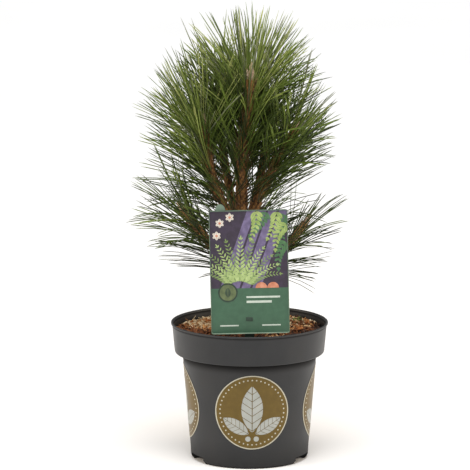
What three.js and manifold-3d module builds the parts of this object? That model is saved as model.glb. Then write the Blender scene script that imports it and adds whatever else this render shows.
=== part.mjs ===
// A young columnar Austrian pine in a round nursery pot, in millimetres, +Z up.
// The origin is the middle of the pot's flat underside. -Y is the front, where the plant label stands.
import * as THREE from "three";
import { mergeVertices } from "three/addons/utils/BufferGeometryUtils.js";
import Module from "manifold-3d";

const wasm = await Module();
wasm.setup();

// Pot: outside radii from the rim down, and its notches and drain holes
const POT_HEIGHT = 167;
const RIM_RADIUS = 95;
const RIM_LIP = 2.6;
const COLLAR_HEIGHT = 37;
const COLLAR_TOP_RADIUS = 93.6;
const COLLAR_FOOT_RADIUS = 90.6;
const BODY_TOP_RADIUS = 81.3;
const BODY_FOOT_RADIUS = 71.6;
const UNDERSIDE_RADIUS = 68;
const WALL = 2;
const POT_SIDES = 40;
const NOTCH_MIDDLES = [65, 115, 245, 295];
const NOTCH_WIDTH = 33;
const NOTCH_HEIGHT = 8;
const NOTCH_INNER_RADIUS = 58;
const DRAIN_HOLES = 8;
const DRAIN_HOLE_RADIUS = 5;
const DRAIN_CIRCLE_RADIUS = 40;

// Badges: round prints on the pot's body
const BADGES = 4;
const BADGE_HALF_HEIGHT = 46;
const BADGE_HALF_WIDTH = 43.7;
const BADGE_MIDDLE = 71;
const BADGE_TURN = 2.4;
const BADGE_THICKNESS = 0.4;

// Label: a card on a stake, a little out of plumb
const CARD_WIDTH = 93.5;
const CARD_HEIGHT = 149;
const CARD_THICKNESS = 0.8;
const CARD_CORNER = 3;
const CARD_MIDDLE = 1.4;
const CARD_FRONT = -76;
const CARD_FOOT = POT_HEIGHT + 1;
const CARD_LEAN = 1.25;
const TAB_WIDTH = 12;
const TAB_HEIGHT = 8;
const TAB_MIDDLE = -33;
const STAKE_WIDTH = 11;
const STAKE_THICKNESS = 1.6;
const STAKE_TOP = POT_HEIGHT + 36;
const STAKE_DEPTH = 54;
const STAKE_POINT_LENGTH = 14;

// Growing medium: its level, and the bark chips on it
const SOIL_BELOW_RIM = 12;
const SOIL_LEVEL = POT_HEIGHT - SOIL_BELOW_RIM;
const CHIPS = 28;
const CHIP_THICKNESS = 3;
const CHIPS_FROM_RADIUS = 20;
const CHIPS_TO_RADIUS = 82;

// Leader: the trunk from its flat cut at soil level to its tip
const TRUNK_TIP_HEIGHT = 462;
const TRUNK_FOOT_RADIUS = 8.2;
const TRUNK_TIP_RADIUS = 4.6;
const ROOT_FLARE = 4.5;
const LEADER_BOW = 10.5;
const LEADER_SWAY = 3;
const LEADER_TIP_SHIFT = 1.5;

// Boughs: height on the trunk, azimuth from +X, lean from plumb at foot and tip, length,
// the share of the length that is bare, and the number of needles on the rest
const BOUGHS = [
  { name: "left", height: 268, azimuth: 193, leans: [35, 2], length: 153, bare: 0.27, needles: 70 },
  { name: "right", height: 262, azimuth: -12, leans: [15, 33], length: 156, bare: 0.32, needles: 66 },
  { name: "back_left", height: 258, azimuth: 122, leans: [31, 6], length: 190, bare: 0.33, needles: 58 },
  { name: "back_right", height: 264, azimuth: 54, leans: [30, 8], length: 170, bare: 0.34, needles: 60 },
  { name: "lower_left", height: 212, azimuth: 187, leans: [42, 37], length: 122, bare: 0.26, needles: 64 },
  { name: "lower_right", height: 208, azimuth: 6, leans: [48, 36], length: 106, bare: 0.26, needles: 60 },
  { name: "lower_back", height: 220, azimuth: 95, leans: [52, 36], length: 112, bare: 0.28, needles: 56 },
  { name: "lower_front", height: 204, azimuth: 262, leans: [36, 14], length: 94, bare: 0.3, needles: 40 },
];
const BOUGH_FOOT_RADIUS = 5.6;
const BOUGH_TIP_RADIUS = 4.3;

// Sleeves of shoot bark round the leader that carry its needles: where each starts and ends,
// and how like a shoot's tip its two ends are, from 0 to 1
const SLEEVES = [
  { name: "leader_low", from: 306, to: 346, needles: 38, tipness: [0, 0.1] },
  { name: "leader_middle", from: 351, to: 400, needles: 50, tipness: [0.1, 0.35] },
  { name: "leader_top", from: 405, to: 459, needles: 76, tipness: [0.35, 1] },
];
const SLEEVE_THICKNESS = 2.2;

// Needles: the leans that they take from their stem, the least and the most, at a shoot's foot and tip
const NEEDLE_LENGTH = 102;
const NEEDLE_RADIUS = 1.2;
const NEEDLE_LEANS = { foot: [44, 76], tip: [7, 64] };
const NEEDLE_LENGTHS = [0.86, 1.02];
const NEEDLE_DROOP = 0.24;
const SHORTENED = [1, 0.88, 0.76];
const ROOT_SUNK = 3;
const ROOT_INSIDE_BARK = 0.7;
const ROOT_ZONE = 11;
const BENT_FROM_SAG = 9;
const TRIES_EACH = 4;

// The crown's outline by height: its middle along X, and how far the needle tips reach from there
const CROWN_LEVELS = [
  [196, 12, 78],
  [240, -4, 104],
  [303, -15, 140],
  [370, -14, 122],
  [440, -13, 125],
  [492, -14, 102],
  [532, -9, 73],
  [552, -7, 50],
  [563, -7, 0],
];

// Winter buds on the shoots' tips: a cluster on the leader, a single bud on each bough
const LEADER_BUD = { length: 22, radius: 3.5, around: 4 };
const BOUGH_BUD = { length: 12, radius: 3, around: 0 };

// Clearances
const GAP = 0.3;
const LIMB_ROOM = 0.5;
const NEEDLE_ROOM = 0.5;
const LABEL_ROOM = 7;
const RIM_ROOM = 8;

const DEGREE = Math.PI / 180;
const FULL_TURN = 2 * Math.PI;
const GOLDEN_ANGLE = 137.508 * DEGREE;

// Two ratios that together spread points evenly over a stem: one along it, one round it
const SPREAD_ALONG = 0.7548776662;
const SPREAD_ROUND = 0.569840291;

const between = (low, high, share) => low + (high - low) * share;
const point = (x, y, z) => new THREE.Vector3(x, y, z);

// A repeatable number from 0 to 1 for each pair of whole numbers.
function chance(a, b) {
  const s = Math.sin(a * 12.9898 + b * 78.233) * 43758.5453;
  return s - Math.floor(s);
}

// A closed solid from a three.js geometry.
function solidOf(geometry) {
  const bare = geometry.clone();
  bare.deleteAttribute("normal");
  bare.deleteAttribute("uv");
  const merged = mergeVertices(bare, 1e-4);
  const corners = [...merged.index.array];
  const faces = [];
  for (let i = 0; i < corners.length; i += 3) {
    const [a, b, c] = corners.slice(i, i + 3);
    if (a !== b && b !== c && c !== a) faces.push(a, b, c);
  }
  const vertProperties = merged.attributes.position.array;
  return new wasm.Manifold(new wasm.Mesh({ numProp: 3, vertProperties, triVerts: new Uint32Array(faces) }));
}

// A three.js geometry from a solid.
function geometryOf(solid) {
  const mesh = solid.getMesh();
  const places = new Float32Array(mesh.numVert * 3);
  for (let i = 0; i < mesh.numVert; i++) {
    const start = i * mesh.numProp;
    places.set(mesh.vertProperties.subarray(start, start + 3), i * 3);
  }
  const geometry = new THREE.BufferGeometry();
  geometry.setAttribute("position", new THREE.BufferAttribute(places, 3));
  geometry.setIndex([...mesh.triVerts]);
  geometry.computeVertexNormals();
  return geometry;
}

// Joins solids two by two, which keeps each join small.
function joined(solids) {
  let row = solids;
  while (row.length > 1) {
    const next = [];
    for (let i = 0; i < row.length; i += 2) {
      next.push(i + 1 < row.length ? row[i].add(row[i + 1]) : row[i]);
    }
    row = next;
  }
  return row[0];
}

// The largest piece of a solid, with any hollow sealed inside it filled and loose scraps dropped.
function wholePiece(solid) {
  const pieces = solid.decompose().filter((piece) => piece.volume() > 0);
  return pieces.sort((a, b) => b.volume() - a.volume())[0];
}

// A closed outline of radii and heights, turned about Z.
function turned(outline, sides) {
  const profile = outline.map(([radius, height]) => new THREE.Vector2(radius, height));
  return new THREE.LatheGeometry(profile, sides).rotateX(Math.PI / 2);
}

// The colour and roughness of each kind of piece
const FINISHES = {
  potPlastic: [0x3c3c3d, 0.55],
  badgePrint: [0x8c7840, 0.4],
  card: [0x4d7a5e, 0.45],
  stakePlastic: [0x1f3a2c, 0.5],
  barkMulch: [0x8a5a34, 0.95],
  bark: [0x7d4c28, 0.9],
  needles: [0x3f5f22, 0.6],
  buds: [0xb9a78c, 0.8],
};

function addPiece(group, name, geometry, finish) {
  const [color, roughness] = FINISHES[finish];
  const material = new THREE.MeshStandardMaterial({ color, roughness, metalness: 0 });
  const mesh = new THREE.Mesh(geometry, material);
  mesh.name = name;
  group.add(mesh);
  return mesh;
}

const pottedPine = new THREE.Group();
const container = new THREE.Group();
const label = new THREE.Group();
const tree = new THREE.Group();
pottedPine.add(container, label, tree);

// The pot's closed outline: up the outside, over the rim's lip and down the inside.
const COLLAR_FOOT = POT_HEIGHT - COLLAR_HEIGHT;
const bodyFoot = [BODY_FOOT_RADIUS, 14];
const bodyTop = [BODY_TOP_RADIUS, COLLAR_FOOT];
const potOutside = [
  [0, 0],
  [UNDERSIDE_RADIUS, 0],
  [UNDERSIDE_RADIUS + 3.2, 4],
  bodyFoot,
  bodyTop,
  [COLLAR_FOOT_RADIUS - 1.5, COLLAR_FOOT],
  [COLLAR_FOOT_RADIUS, COLLAR_FOOT + 1.5],
  [COLLAR_TOP_RADIUS, POT_HEIGHT - RIM_LIP - 0.6],
  [RIM_RADIUS, POT_HEIGHT - RIM_LIP],
  [RIM_RADIUS, POT_HEIGHT - 0.8],
  [RIM_RADIUS - 0.8, POT_HEIGHT],
];
const potInnerWall = [
  [COLLAR_FOOT_RADIUS - WALL, COLLAR_FOOT + WALL],
  [BODY_TOP_RADIUS - WALL, COLLAR_FOOT + WALL - 0.5],
  [BODY_FOOT_RADIUS - WALL, 13],
];
const potFloor = [
  [UNDERSIDE_RADIUS - 1, WALL],
  [0, WALL],
];

// A block over one foot notch: the notch itself with no growth, its housing with a wall's.
function notchBlock(middle, growth) {
  const depth = RIM_RADIUS - NOTCH_INNER_RADIUS + growth;
  const block = new THREE.BoxGeometry(depth, NOTCH_WIDTH + 2 * growth, 2 * (NOTCH_HEIGHT + growth));
  block.translate(NOTCH_INNER_RADIUS - growth + depth / 2, 0, 0);
  return solidOf(block.rotateZ((middle - 90) * DEGREE));
}
const notchBlocks = (growth) => joined(NOTCH_MIDDLES.map((middle) => notchBlock(middle, growth)));

function drainHole(index) {
  const hole = new THREE.CylinderGeometry(DRAIN_HOLE_RADIUS, DRAIN_HOLE_RADIUS, 4 * WALL, 10);
  hole.rotateX(Math.PI / 2).translate(DRAIN_CIRCLE_RADIUS, 0, 0);
  return solidOf(hole.rotateZ((index * FULL_TURN) / DRAIN_HOLES));
}

function potSolid() {
  const rimInside = [COLLAR_TOP_RADIUS - WALL, POT_HEIGHT];
  const shell = solidOf(turned([...potOutside, rimInside, ...potInnerWall, ...potFloor], POT_SIDES));
  const envelope = solidOf(turned([...potOutside, [0, POT_HEIGHT]], POT_SIDES));
  const pot = shell.add(notchBlocks(WALL).intersect(envelope)).subtract(notchBlocks(0));
  const holes = Array.from({ length: DRAIN_HOLES }, (_, index) => drainHole(index));
  return pot.subtract(joined(holes));
}
addPiece(container, "pot", geometryOf(potSolid()), "potPlastic");

// Each badge is a disc's share of a thin sleeve round the body.
function badgeSolid(index) {
  const sleeve = [GAP, GAP + BADGE_THICKNESS].map((proud) => [
    [bodyFoot[0] + proud, bodyFoot[1]],
    [bodyTop[0] + proud, bodyTop[1]],
  ]);
  const [[innerFoot, innerTop], [outerFoot, outerTop]] = sleeve;
  const ring = solidOf(turned([innerFoot, outerFoot, outerTop, innerTop, innerFoot], POT_SIDES));
  const disc = new THREE.CylinderGeometry(1, 1, BODY_TOP_RADIUS, 20);
  disc.scale(BADGE_HALF_WIDTH, 1, BADGE_HALF_HEIGHT).translate(0, -BODY_TOP_RADIUS, BADGE_MIDDLE);
  return ring.intersect(solidOf(disc.rotateZ((BADGE_TURN + (360 * index) / BADGES) * DEGREE)));
}
for (let i = 0; i < BADGES; i++) {
  addPiece(container, `badge_${i + 1}`, geometryOf(badgeSolid(i)), "badgePrint");
}

// The card has round corners, and a small round tab on its top edge.
function cardGeometry() {
  const corner = CARD_CORNER;
  const edge = CARD_WIDTH / 2;
  const outline = new THREE.Shape();
  outline.moveTo(corner - edge, 0);
  outline.absarc(edge - corner, corner, corner, -Math.PI / 2, 0);
  outline.absarc(edge - corner, CARD_HEIGHT - corner, corner, 0, Math.PI / 2);
  outline.lineTo(TAB_MIDDLE + TAB_WIDTH / 2, CARD_HEIGHT);
  outline.absellipse(TAB_MIDDLE, CARD_HEIGHT, TAB_WIDTH / 2, TAB_HEIGHT, 0, Math.PI);
  outline.absarc(corner - edge, CARD_HEIGHT - corner, corner, Math.PI / 2, Math.PI);
  outline.absarc(corner - edge, corner, corner, Math.PI, 1.5 * Math.PI);
  const options = { depth: CARD_THICKNESS, bevelEnabled: false, curveSegments: 3 };
  return new THREE.ExtrudeGeometry(outline, options).rotateX(Math.PI / 2).translate(0, CARD_THICKNESS, 0);
}

// The stake stands behind the card, with its point in the soil. Grown, it is the slit that it sits in.
function stakeGeometry(growth) {
  const half = STAKE_WIDTH / 2 + growth;
  const tip = SOIL_LEVEL - STAKE_DEPTH;
  const outline = new THREE.Shape();
  outline.moveTo(-half, STAKE_TOP);
  outline.lineTo(-half, tip + STAKE_POINT_LENGTH);
  outline.lineTo(0, tip - growth);
  outline.lineTo(half, tip + STAKE_POINT_LENGTH);
  outline.lineTo(half, STAKE_TOP);
  const depth = STAKE_THICKNESS + 2 * growth;
  const stake = new THREE.ExtrudeGeometry(outline, { depth, bevelEnabled: false }).rotateX(Math.PI / 2);
  return stake.translate(0, CARD_FRONT + CARD_THICKNESS + GAP + depth - growth, 0);
}

const card = addPiece(label, "label_card", cardGeometry(), "card");
card.position.set(CARD_MIDDLE, CARD_FRONT, CARD_FOOT);
card.rotation.y = -CARD_LEAN * DEGREE;
addPiece(label, "label_stake", stakeGeometry(0), "stakePlastic");

// The growing medium is a plug that fills the pot. It lies flat round the trunk and lumpy further out.
function soilPlug() {
  const wall = potInnerWall.map(([radius, height]) => [radius - GAP - 0.1, height + GAP]).reverse();
  const edgeRadius = COLLAR_TOP_RADIUS - WALL - 2;
  const rings = [0.9, 0.66, 0.42].map((share) => [edgeRadius * share, SOIL_LEVEL]);
  const underside = WALL + GAP;
  const outline = [[0, underside], [UNDERSIDE_RADIUS - WALL, underside], ...wall];
  outline.push([edgeRadius, SOIL_LEVEL - 2], ...rings, [CHIPS_FROM_RADIUS - 3, SOIL_LEVEL], [0, SOIL_LEVEL]);
  const plug = turned(outline, POT_SIDES);
  const places = plug.attributes.position;
  for (let i = 0; i < places.count; i++) {
    const [x, y, z] = [places.getX(i), places.getY(i), places.getZ(i)];
    const lump = 1.3 * Math.sin(x * 0.13 + 1) * Math.cos(y * 0.11) + 0.8 * Math.sin(x * 0.31 - y * 0.27);
    if (z === SOIL_LEVEL && Math.hypot(x, y) > CHIPS_FROM_RADIUS) places.setZ(i, z + lump);
  }
  return solidOf(plug);
}

function chipSolid(index) {
  const innerShare = (CHIPS_FROM_RADIUS / CHIPS_TO_RADIUS) ** 2;
  const reach = Math.sqrt(between(innerShare, 1, (index + 0.5) / CHIPS)) * CHIPS_TO_RADIUS;
  const turn = index * GOLDEN_ANGLE;
  const [length, width] = [between(7, 13, chance(index, 1)), between(4, 6, chance(index, 2))];
  const chip = new THREE.BoxGeometry(length, width, CHIP_THICKNESS);
  chip.rotateX(chance(index, 3) - 0.5).rotateY(chance(index, 4) - 0.5);
  chip.rotateZ(FULL_TURN * chance(index, 5));
  return solidOf(chip.translate(reach * Math.cos(turn), reach * Math.sin(turn), SOIL_LEVEL));
}

function soilSolid() {
  const chips = Array.from({ length: CHIPS }, (_, index) => chipSolid(index));
  const topped = wholePiece(soilPlug().add(joined(chips)));
  return wholePiece(topped.subtract(notchBlocks(WALL + GAP)).subtract(solidOf(stakeGeometry(GAP))));
}
addPiece(container, "growing_medium", geometryOf(soilSolid()), "barkMulch");

// A limb gives its place, its direction and two cross directions at a share of its length, and its radius.
const TRUNK_FOOT = SOIL_LEVEL + GAP;
const leaderShareAt = (height) => (height - TRUNK_FOOT) / (TRUNK_TIP_HEIGHT - TRUNK_FOOT);

// The leader bows to the left on its way up and comes back over the pot's middle.
function leaderPlace(share) {
  const bow = -LEADER_BOW * Math.sin(Math.PI * Math.max(0, Math.min(1, share)) ** 1.2) ** 1.2;
  const sway = LEADER_SWAY * Math.sin(FULL_TURN * share);
  return point(bow + LEADER_TIP_SHIFT * share, sway, between(TRUNK_FOOT, TRUNK_TIP_HEIGHT, share));
}

const leader = {
  owner: "leader",
  length: TRUNK_TIP_HEIGHT - TRUNK_FOOT,
  radius: (share) => between(TRUNK_FOOT_RADIUS, TRUNK_TIP_RADIUS, share),
  at(share) {
    const along = leaderPlace(share + 0.01).sub(leaderPlace(share - 0.01)).normalize();
    const aside = along.clone().cross(point(1, 0, 0)).normalize();
    return { place: leaderPlace(share), along, across: aside.clone().cross(along), aside };
  },
};

// A bough lies in an upright plane, and its lean changes evenly from foot to tip.
function boughLimb({ name, height, azimuth, leans, length }) {
  const foot = leader.at(leaderShareAt(height)).place;
  const [leanFoot, leanTip] = leans.map((lean) => lean * DEGREE);
  const outward = point(Math.cos(azimuth * DEGREE), Math.sin(azimuth * DEGREE), 0);
  const across = point(-outward.y, outward.x, 0);
  return {
    owner: name,
    length,
    radius: (share) => between(BOUGH_FOOT_RADIUS, BOUGH_TIP_RADIUS, share),
    at(share) {
      const lean = between(leanFoot, leanTip, share);
      const curl = length / (leanTip - leanFoot);
      const place = foot.clone().addScaledVector(outward, curl * (Math.cos(leanFoot) - Math.cos(lean)));
      place.z += curl * (Math.sin(lean) - Math.sin(leanFoot));
      const along = outward.clone().multiplyScalar(Math.sin(lean)).setZ(Math.cos(lean));
      return { place, along, across, aside: along.clone().cross(across) };
    },
  };
}

// A closed solid of a limb from one share of its length to another.
function limbSolid(limb, [from, to], sides, rings, growthAt) {
  const tube = new THREE.CylinderGeometry(1, 1, 1, sides, rings);
  const places = tube.attributes.position;
  for (let i = 0; i < places.count; i++) {
    const share = between(from, to, places.getY(i) + 0.5);
    const { place, across, aside } = limb.at(share);
    const radius = limb.radius(share) + growthAt(share);
    place.addScaledVector(across, -places.getX(i) * radius).addScaledVector(aside, places.getZ(i) * radius);
    places.setXYZ(i, place.x, place.y, place.z);
  }
  return solidOf(tube);
}

// The trunk swells to its root flare and has slight rings where earlier needles stood.
function trunkSolid(growth) {
  const swelling = (share) => growth + ROOT_FLARE * Math.exp(-22 * share) + 0.45 * Math.sin(90 * share);
  const whole = limbSolid(leader, [0, 1], 9, 22, swelling);
  return whole.trimByPlane([0, 0, 1], TRUNK_FOOT);
}
addPiece(tree, "trunk", geometryOf(trunkSolid(0)), "bark");

// Each bough leaves the trunk 0.3 mm clear. Where boughs crowd there, the later is cut clear of the earlier.
const boughs = BOUGHS.map((bough) => ({ ...bough, limb: boughLimb(bough) }));
let woodClearance = trunkSolid(GAP);
for (const { name, limb, bare } of boughs) {
  const wood = limbSolid(limb, [0, bare], 7, 4, () => 0).subtract(woodClearance);
  woodClearance = woodClearance.add(limbSolid(limb, [0, bare], 7, 4, () => GAP));
  addPiece(tree, `bough_${name}`, geometryOf(wholePiece(wood)), "bark");
}

// Whether a needle's tip is within the crown's outline.
function isInCrown({ x, y, z }) {
  const above = CROWN_LEVELS.findIndex(([height]) => height > z);
  if (above < 1) return false;
  const [[low, ...below], [high, ...over]] = CROWN_LEVELS.slice(above - 1, above + 1);
  const [middle, reach] = below.map((value, i) => between(value, over[i], (z - low) / (high - low)));
  return Math.hypot(x - middle, y) <= reach;
}

// A needle leans from its stem and sags a little at its tip. It is shortened to stay in the crown's outline.
// The needles of a stem are spread evenly along it and round it.
function needlePath(limb, share, tipness, barkRadius, index, seed) {
  const { place, along, across, aside } = limb.at(share);
  const turn = FULL_TURN * (index * SPREAD_ROUND + 0.06 * chance(index, seed));
  const outward = across.clone().multiplyScalar(Math.cos(turn)).addScaledVector(aside, Math.sin(turn));
  const [least, most] = [0, 1].map((end) => between(NEEDLE_LEANS.foot[end], NEEDLE_LEANS.tip[end], tipness));
  const lean = DEGREE * between(least, most, chance(index, seed + 1));
  const course = along.clone().multiplyScalar(Math.cos(lean)).addScaledVector(outward, Math.sin(lean));
  const root = place.addScaledVector(outward, barkRadius - ROOT_INSIDE_BARK);
  root.addScaledVector(course, -ROOT_SUNK);
  const fullLength = NEEDLE_LENGTH * between(...NEEDLE_LENGTHS, chance(index, seed + 2));
  const level = Math.hypot(course.x, course.y);
  const droop = NEEDLE_DROOP * level * (1.15 - course.z) * between(0.2, 1.2, chance(index, seed + 3));
  for (const shortened of SHORTENED) {
    const length = fullLength * shortened;
    const sag = droop * length;
    const tip = root.clone().addScaledVector(course, length).add(point(0, 0, -sag));
    const middle = root.clone().addScaledVector(course, 0.52 * length).add(point(0, 0, -0.2 * sag));
    if (isInCrown(tip)) return { root, middle, tip, course, outward, bent: sag > BENT_FROM_SAG };
  }
  return null;
}

// A three-sided spike, straight or bent once, that thins to its tip.
function needleSolid({ root, middle, tip, course, outward, bent }) {
  const stops = bent ? [root, middle, tip] : [root, tip];
  const last = stops.length - 1;
  const spike = new THREE.ConeGeometry(1, 1, 3, last);
  const side = course.clone().cross(outward).normalize();
  const up = side.clone().cross(course);
  const places = spike.attributes.position;
  for (let i = 0; i < places.count; i++) {
    const stop = Math.round((places.getY(i) + 0.5) * last);
    const radius = stop === last ? 0 : NEEDLE_RADIUS;
    const place = stops[stop].clone();
    place.addScaledVector(side, places.getX(i) * radius).addScaledVector(up, places.getZ(i) * radius);
    places.setXYZ(i, place.x, place.y, place.z);
  }
  return solidOf(spike);
}

// The least distance between two straight stretches.
function stretchDistance(one, other) {
  const d1 = one.to.clone().sub(one.from);
  const d2 = other.to.clone().sub(other.from);
  const r = one.from.clone().sub(other.from);
  const [a, e, b, c, f] = [d1.dot(d1), d2.dot(d2), d1.dot(d2), d1.dot(r), d2.dot(r)];
  const clamp = (value) => THREE.MathUtils.clamp(value, 0, 1);
  const spread = a * e - b * b;
  let s = spread > 1e-9 ? clamp((b * f - c * e) / spread) : 0;
  const t = clamp((b * s + f) / e);
  s = clamp((b * t - c) / a);
  return one.from.clone().addScaledVector(d1, s).distanceTo(other.from.clone().addScaledVector(d2, t));
}

// What a needle must miss: stretches of limb and bud, and of the needles placed before it.
const limbStretches = [];

function noteLimb(limb, pieces, bud, budRadius) {
  for (let i = 0; i < pieces; i++) {
    const [from, to] = [limb.at(i / pieces).place, limb.at((i + 1) / pieces).place];
    limbStretches.push({ owner: limb.owner, isWood: true, from, to, radius: limb.radius(i / pieces) });
  }
  const { place, along } = limb.at(1);
  const to = place.clone().addScaledVector(along, bud.length);
  limbStretches.push({ owner: "bud", isWood: true, from: place, to, radius: budRadius });
}
noteLimb(leader, 10, LEADER_BUD, 1.45 * LEADER_BUD.radius);
boughs.forEach(({ limb }) => noteLimb(limb, 8, BOUGH_BUD, BOUGH_BUD.radius));
const needleStretches = [];

function stretchesOf({ root, middle, tip, course }) {
  const free = root.clone().addScaledVector(course, ROOT_ZONE);
  return [
    { from: root, to: free, radius: NEEDLE_RADIUS },
    { from: free, to: middle, radius: NEEDLE_RADIUS },
    { from: middle, to: tip, radius: 0.8 * NEEDLE_RADIUS },
  ];
}

function tooClose(ours, theirs) {
  const room = theirs.isWood ? LIMB_ROOM : NEEDLE_ROOM;
  return stretchDistance(ours, theirs) < ours.radius + theirs.radius + room;
}

// Needles keep above the rim, and away from the label.
function isOpenSpace({ x, y, z }) {
  const besideLabel = Math.abs(x - CARD_MIDDLE) > CARD_WIDTH / 2 + LABEL_ROOM;
  const aboveLabel = z > CARD_FOOT + CARD_HEIGHT + LABEL_ROOM;
  return z > POT_HEIGHT + RIM_ROOM && (besideLabel || aboveLabel || y > CARD_FRONT + LABEL_ROOM);
}

const staysInOpenSpace = ({ from, to }) =>
  [0, 0.25, 0.5, 0.75, 1].every((share) => isOpenSpace(from.clone().lerp(to, share)));

// Near its root a needle may cross its own stem and its neighbours on that stem: there they are fused.
function isClear(path, owner) {
  const [atRoot, ...free] = stretchesOf(path);
  if (!free.every(staysInOpenSpace)) return false;
  return [...limbStretches, ...needleStretches].every((other) => {
    if (other.owner !== owner) return ![atRoot, ...free].some((stretch) => tooClose(stretch, other));
    if (other.isRoot) return true;
    return other.isWood ? !tooClose(free[1], other) : !free.some((stretch) => tooClose(stretch, other));
  });
}

// Tries places on a stem in turn until enough needles are clear of everything.
function needlesOn(limb, [from, to], wanted, seed, tipnessAt, barkRadiusAt) {
  const kept = [];
  for (let i = 0; i < wanted * TRIES_EACH && kept.length < wanted; i++) {
    const share = between(from, to, (i * SPREAD_ALONG) % 1);
    const path = needlePath(limb, share, tipnessAt(share), barkRadiusAt(share), i, seed);
    if (!path || !isClear(path, limb.owner)) continue;
    kept.push(path);
    stretchesOf(path).forEach((stretch, part) => {
      needleStretches.push({ owner: limb.owner, isRoot: part === 0, ...stretch });
    });
  }
  return kept.map(needleSolid);
}

// The leader's needles stand on sleeves of shoot bark, each cut clear of the trunk inside it.
SLEEVES.forEach(({ name, from, to, needles, tipness }, index) => {
  const span = [leaderShareAt(from), leaderShareAt(to)];
  const tipnessAt = (share) => between(...tipness, (share - span[0]) / (span[1] - span[0]));
  const barkRadiusAt = (share) => leader.radius(share) + SLEEVE_THICKNESS;
  const sleeve = limbSolid(leader, span, 8, 3, () => SLEEVE_THICKNESS);
  const spikes = needlesOn(leader, span, needles, 11 + 17 * index, tipnessAt, barkRadiusAt);
  const mass = joined([sleeve, ...spikes]).subtract(woodClearance);
  addPiece(tree, `needles_${name}`, geometryOf(wholePiece(mass)), "needles");
});

// A bough's needles stand on a stem that carries on from its tip, 0.3 mm clear of it.
boughs.forEach(({ name, limb, bare, needles }, index) => {
  const start = bare + GAP / limb.length;
  const tipnessAt = (share) => ((share - bare) / (1 - bare)) ** 1.3;
  const stem = limbSolid(limb, [start, 1], 6, 4, () => 0);
  const spikes = needlesOn(limb, [start + 0.03, 0.985], needles, 101 + 23 * index, tipnessAt, limb.radius);
  const mass = joined([stem, ...spikes]).subtract(woodClearance);
  addPiece(tree, `needles_${name}`, geometryOf(wholePiece(mass)), "needles");
});

// A winter bud is a pale resinous cone, pointed and widest a third of the way up.
function budSolid(length, radius, sides, place, direction) {
  const outline = [
    [0, 0],
    [0.75 * radius, 0],
    [radius, 0.3 * length],
    [0.8 * radius, 0.65 * length],
    [0, length],
  ];
  const turn = new THREE.Quaternion().setFromUnitVectors(point(0, 0, 1), direction);
  return solidOf(turned(outline, sides).applyQuaternion(turn).translate(place.x, place.y, place.z));
}

// Smaller buds lean out round the middle one.
function budCluster(limb, { length, radius, around }) {
  const { place, along, across, aside } = limb.at(1);
  const foot = place.addScaledVector(along, GAP);
  const buds = [budSolid(length, radius, 7, foot, along)];
  for (let i = 0; i < around; i++) {
    const turn = (i * FULL_TURN) / around + 0.6;
    const outward = across.clone().multiplyScalar(Math.cos(turn)).addScaledVector(aside, Math.sin(turn));
    const direction = along.clone().addScaledVector(outward, 0.28).normalize();
    const start = foot.clone().addScaledVector(outward, 0.7 * radius).addScaledVector(along, 0.5 * radius);
    buds.push(budSolid(length * between(0.5, 0.65, chance(i, 7)), 0.62 * radius, 5, start, direction));
  }
  return wholePiece(joined(buds));
}
addPiece(tree, "buds_leader", geometryOf(budCluster(leader, LEADER_BUD)), "buds");
for (const { name, limb } of boughs) {
  addPiece(tree, `bud_${name}`, geometryOf(budCluster(limb, BOUGH_BUD)), "buds");
}

export default pottedPine;
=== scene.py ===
import math
from contextlib import contextmanager

import bpy
import numpy as np
from mathutils import Matrix, Vector


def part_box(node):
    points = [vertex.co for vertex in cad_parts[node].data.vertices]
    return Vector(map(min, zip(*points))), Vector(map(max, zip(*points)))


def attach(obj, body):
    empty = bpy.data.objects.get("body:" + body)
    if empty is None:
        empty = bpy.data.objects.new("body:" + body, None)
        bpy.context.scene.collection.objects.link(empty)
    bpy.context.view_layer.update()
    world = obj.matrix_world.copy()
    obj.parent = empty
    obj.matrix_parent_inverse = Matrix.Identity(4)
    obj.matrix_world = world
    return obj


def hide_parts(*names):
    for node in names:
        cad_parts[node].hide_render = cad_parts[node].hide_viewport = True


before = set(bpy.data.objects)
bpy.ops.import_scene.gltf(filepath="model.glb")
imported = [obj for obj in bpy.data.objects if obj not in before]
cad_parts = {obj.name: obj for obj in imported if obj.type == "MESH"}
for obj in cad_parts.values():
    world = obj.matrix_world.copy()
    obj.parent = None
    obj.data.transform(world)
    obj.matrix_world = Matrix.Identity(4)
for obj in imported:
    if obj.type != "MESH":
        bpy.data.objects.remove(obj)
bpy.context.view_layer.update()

# Pot: a round nursery pot with a deep stepped collar, injection moulded in thin satin anthracite plastic.
# Its wall is drawn up ring by ring from the flat underside, over the rim and down the inside to the floor.
# The foot notches, each in a housing of the same wall, and the drain holes are cut last.
MM = 0.001
DEGREE = math.pi / 180
FULL_TURN = 2 * math.pi
POT_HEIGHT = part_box("pot")[1].z
RIM_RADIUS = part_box("pot")[1].x
RIM_LIP = 2.6 * MM
RIM_THICKNESS = 2 * MM
COLLAR_FOOT = POT_HEIGHT - 37 * MM
COLLAR_TOP_RADIUS = 93.6 * MM
COLLAR_FOOT_RADIUS = 90.6 * MM
BODY_TOP_RADIUS = 81.3 * MM
BODY_FOOT = 14 * MM
BODY_FOOT_RADIUS = 71.6 * MM
UNDERSIDE_RADIUS = 68 * MM
WALL = 2 * MM
POT_SIDES = 160
NOTCH_MIDDLES = [-25, 25, 155, 205]
NOTCH_WIDTH = 33 * MM
NOTCH_HEIGHT = 8 * MM
NOTCH_INNER_RADIUS = 58 * MM
NOTCH_ROUNDING = 1.6 * MM
DRAIN_HOLES = 8
DRAIN_HOLE_RADIUS = 5 * MM
DRAIN_CIRCLE_RADIUS = 40 * MM
ROUNDED_EDGE = 0.9 * MM
# Painted shade: bands under the collar and the rim's lip, each with its top, depth and darkness, and a band
# at the foot.
PAINTED_SHADE_BANDS = [(COLLAR_FOOT, 14 * MM, 1.0), (POT_HEIGHT - RIM_LIP, 2.6 * MM, 0.85)]
FOOT_SHADE_BAND = 34 * MM
FOOT_PAINTED_SHADE = 0.46
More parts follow.
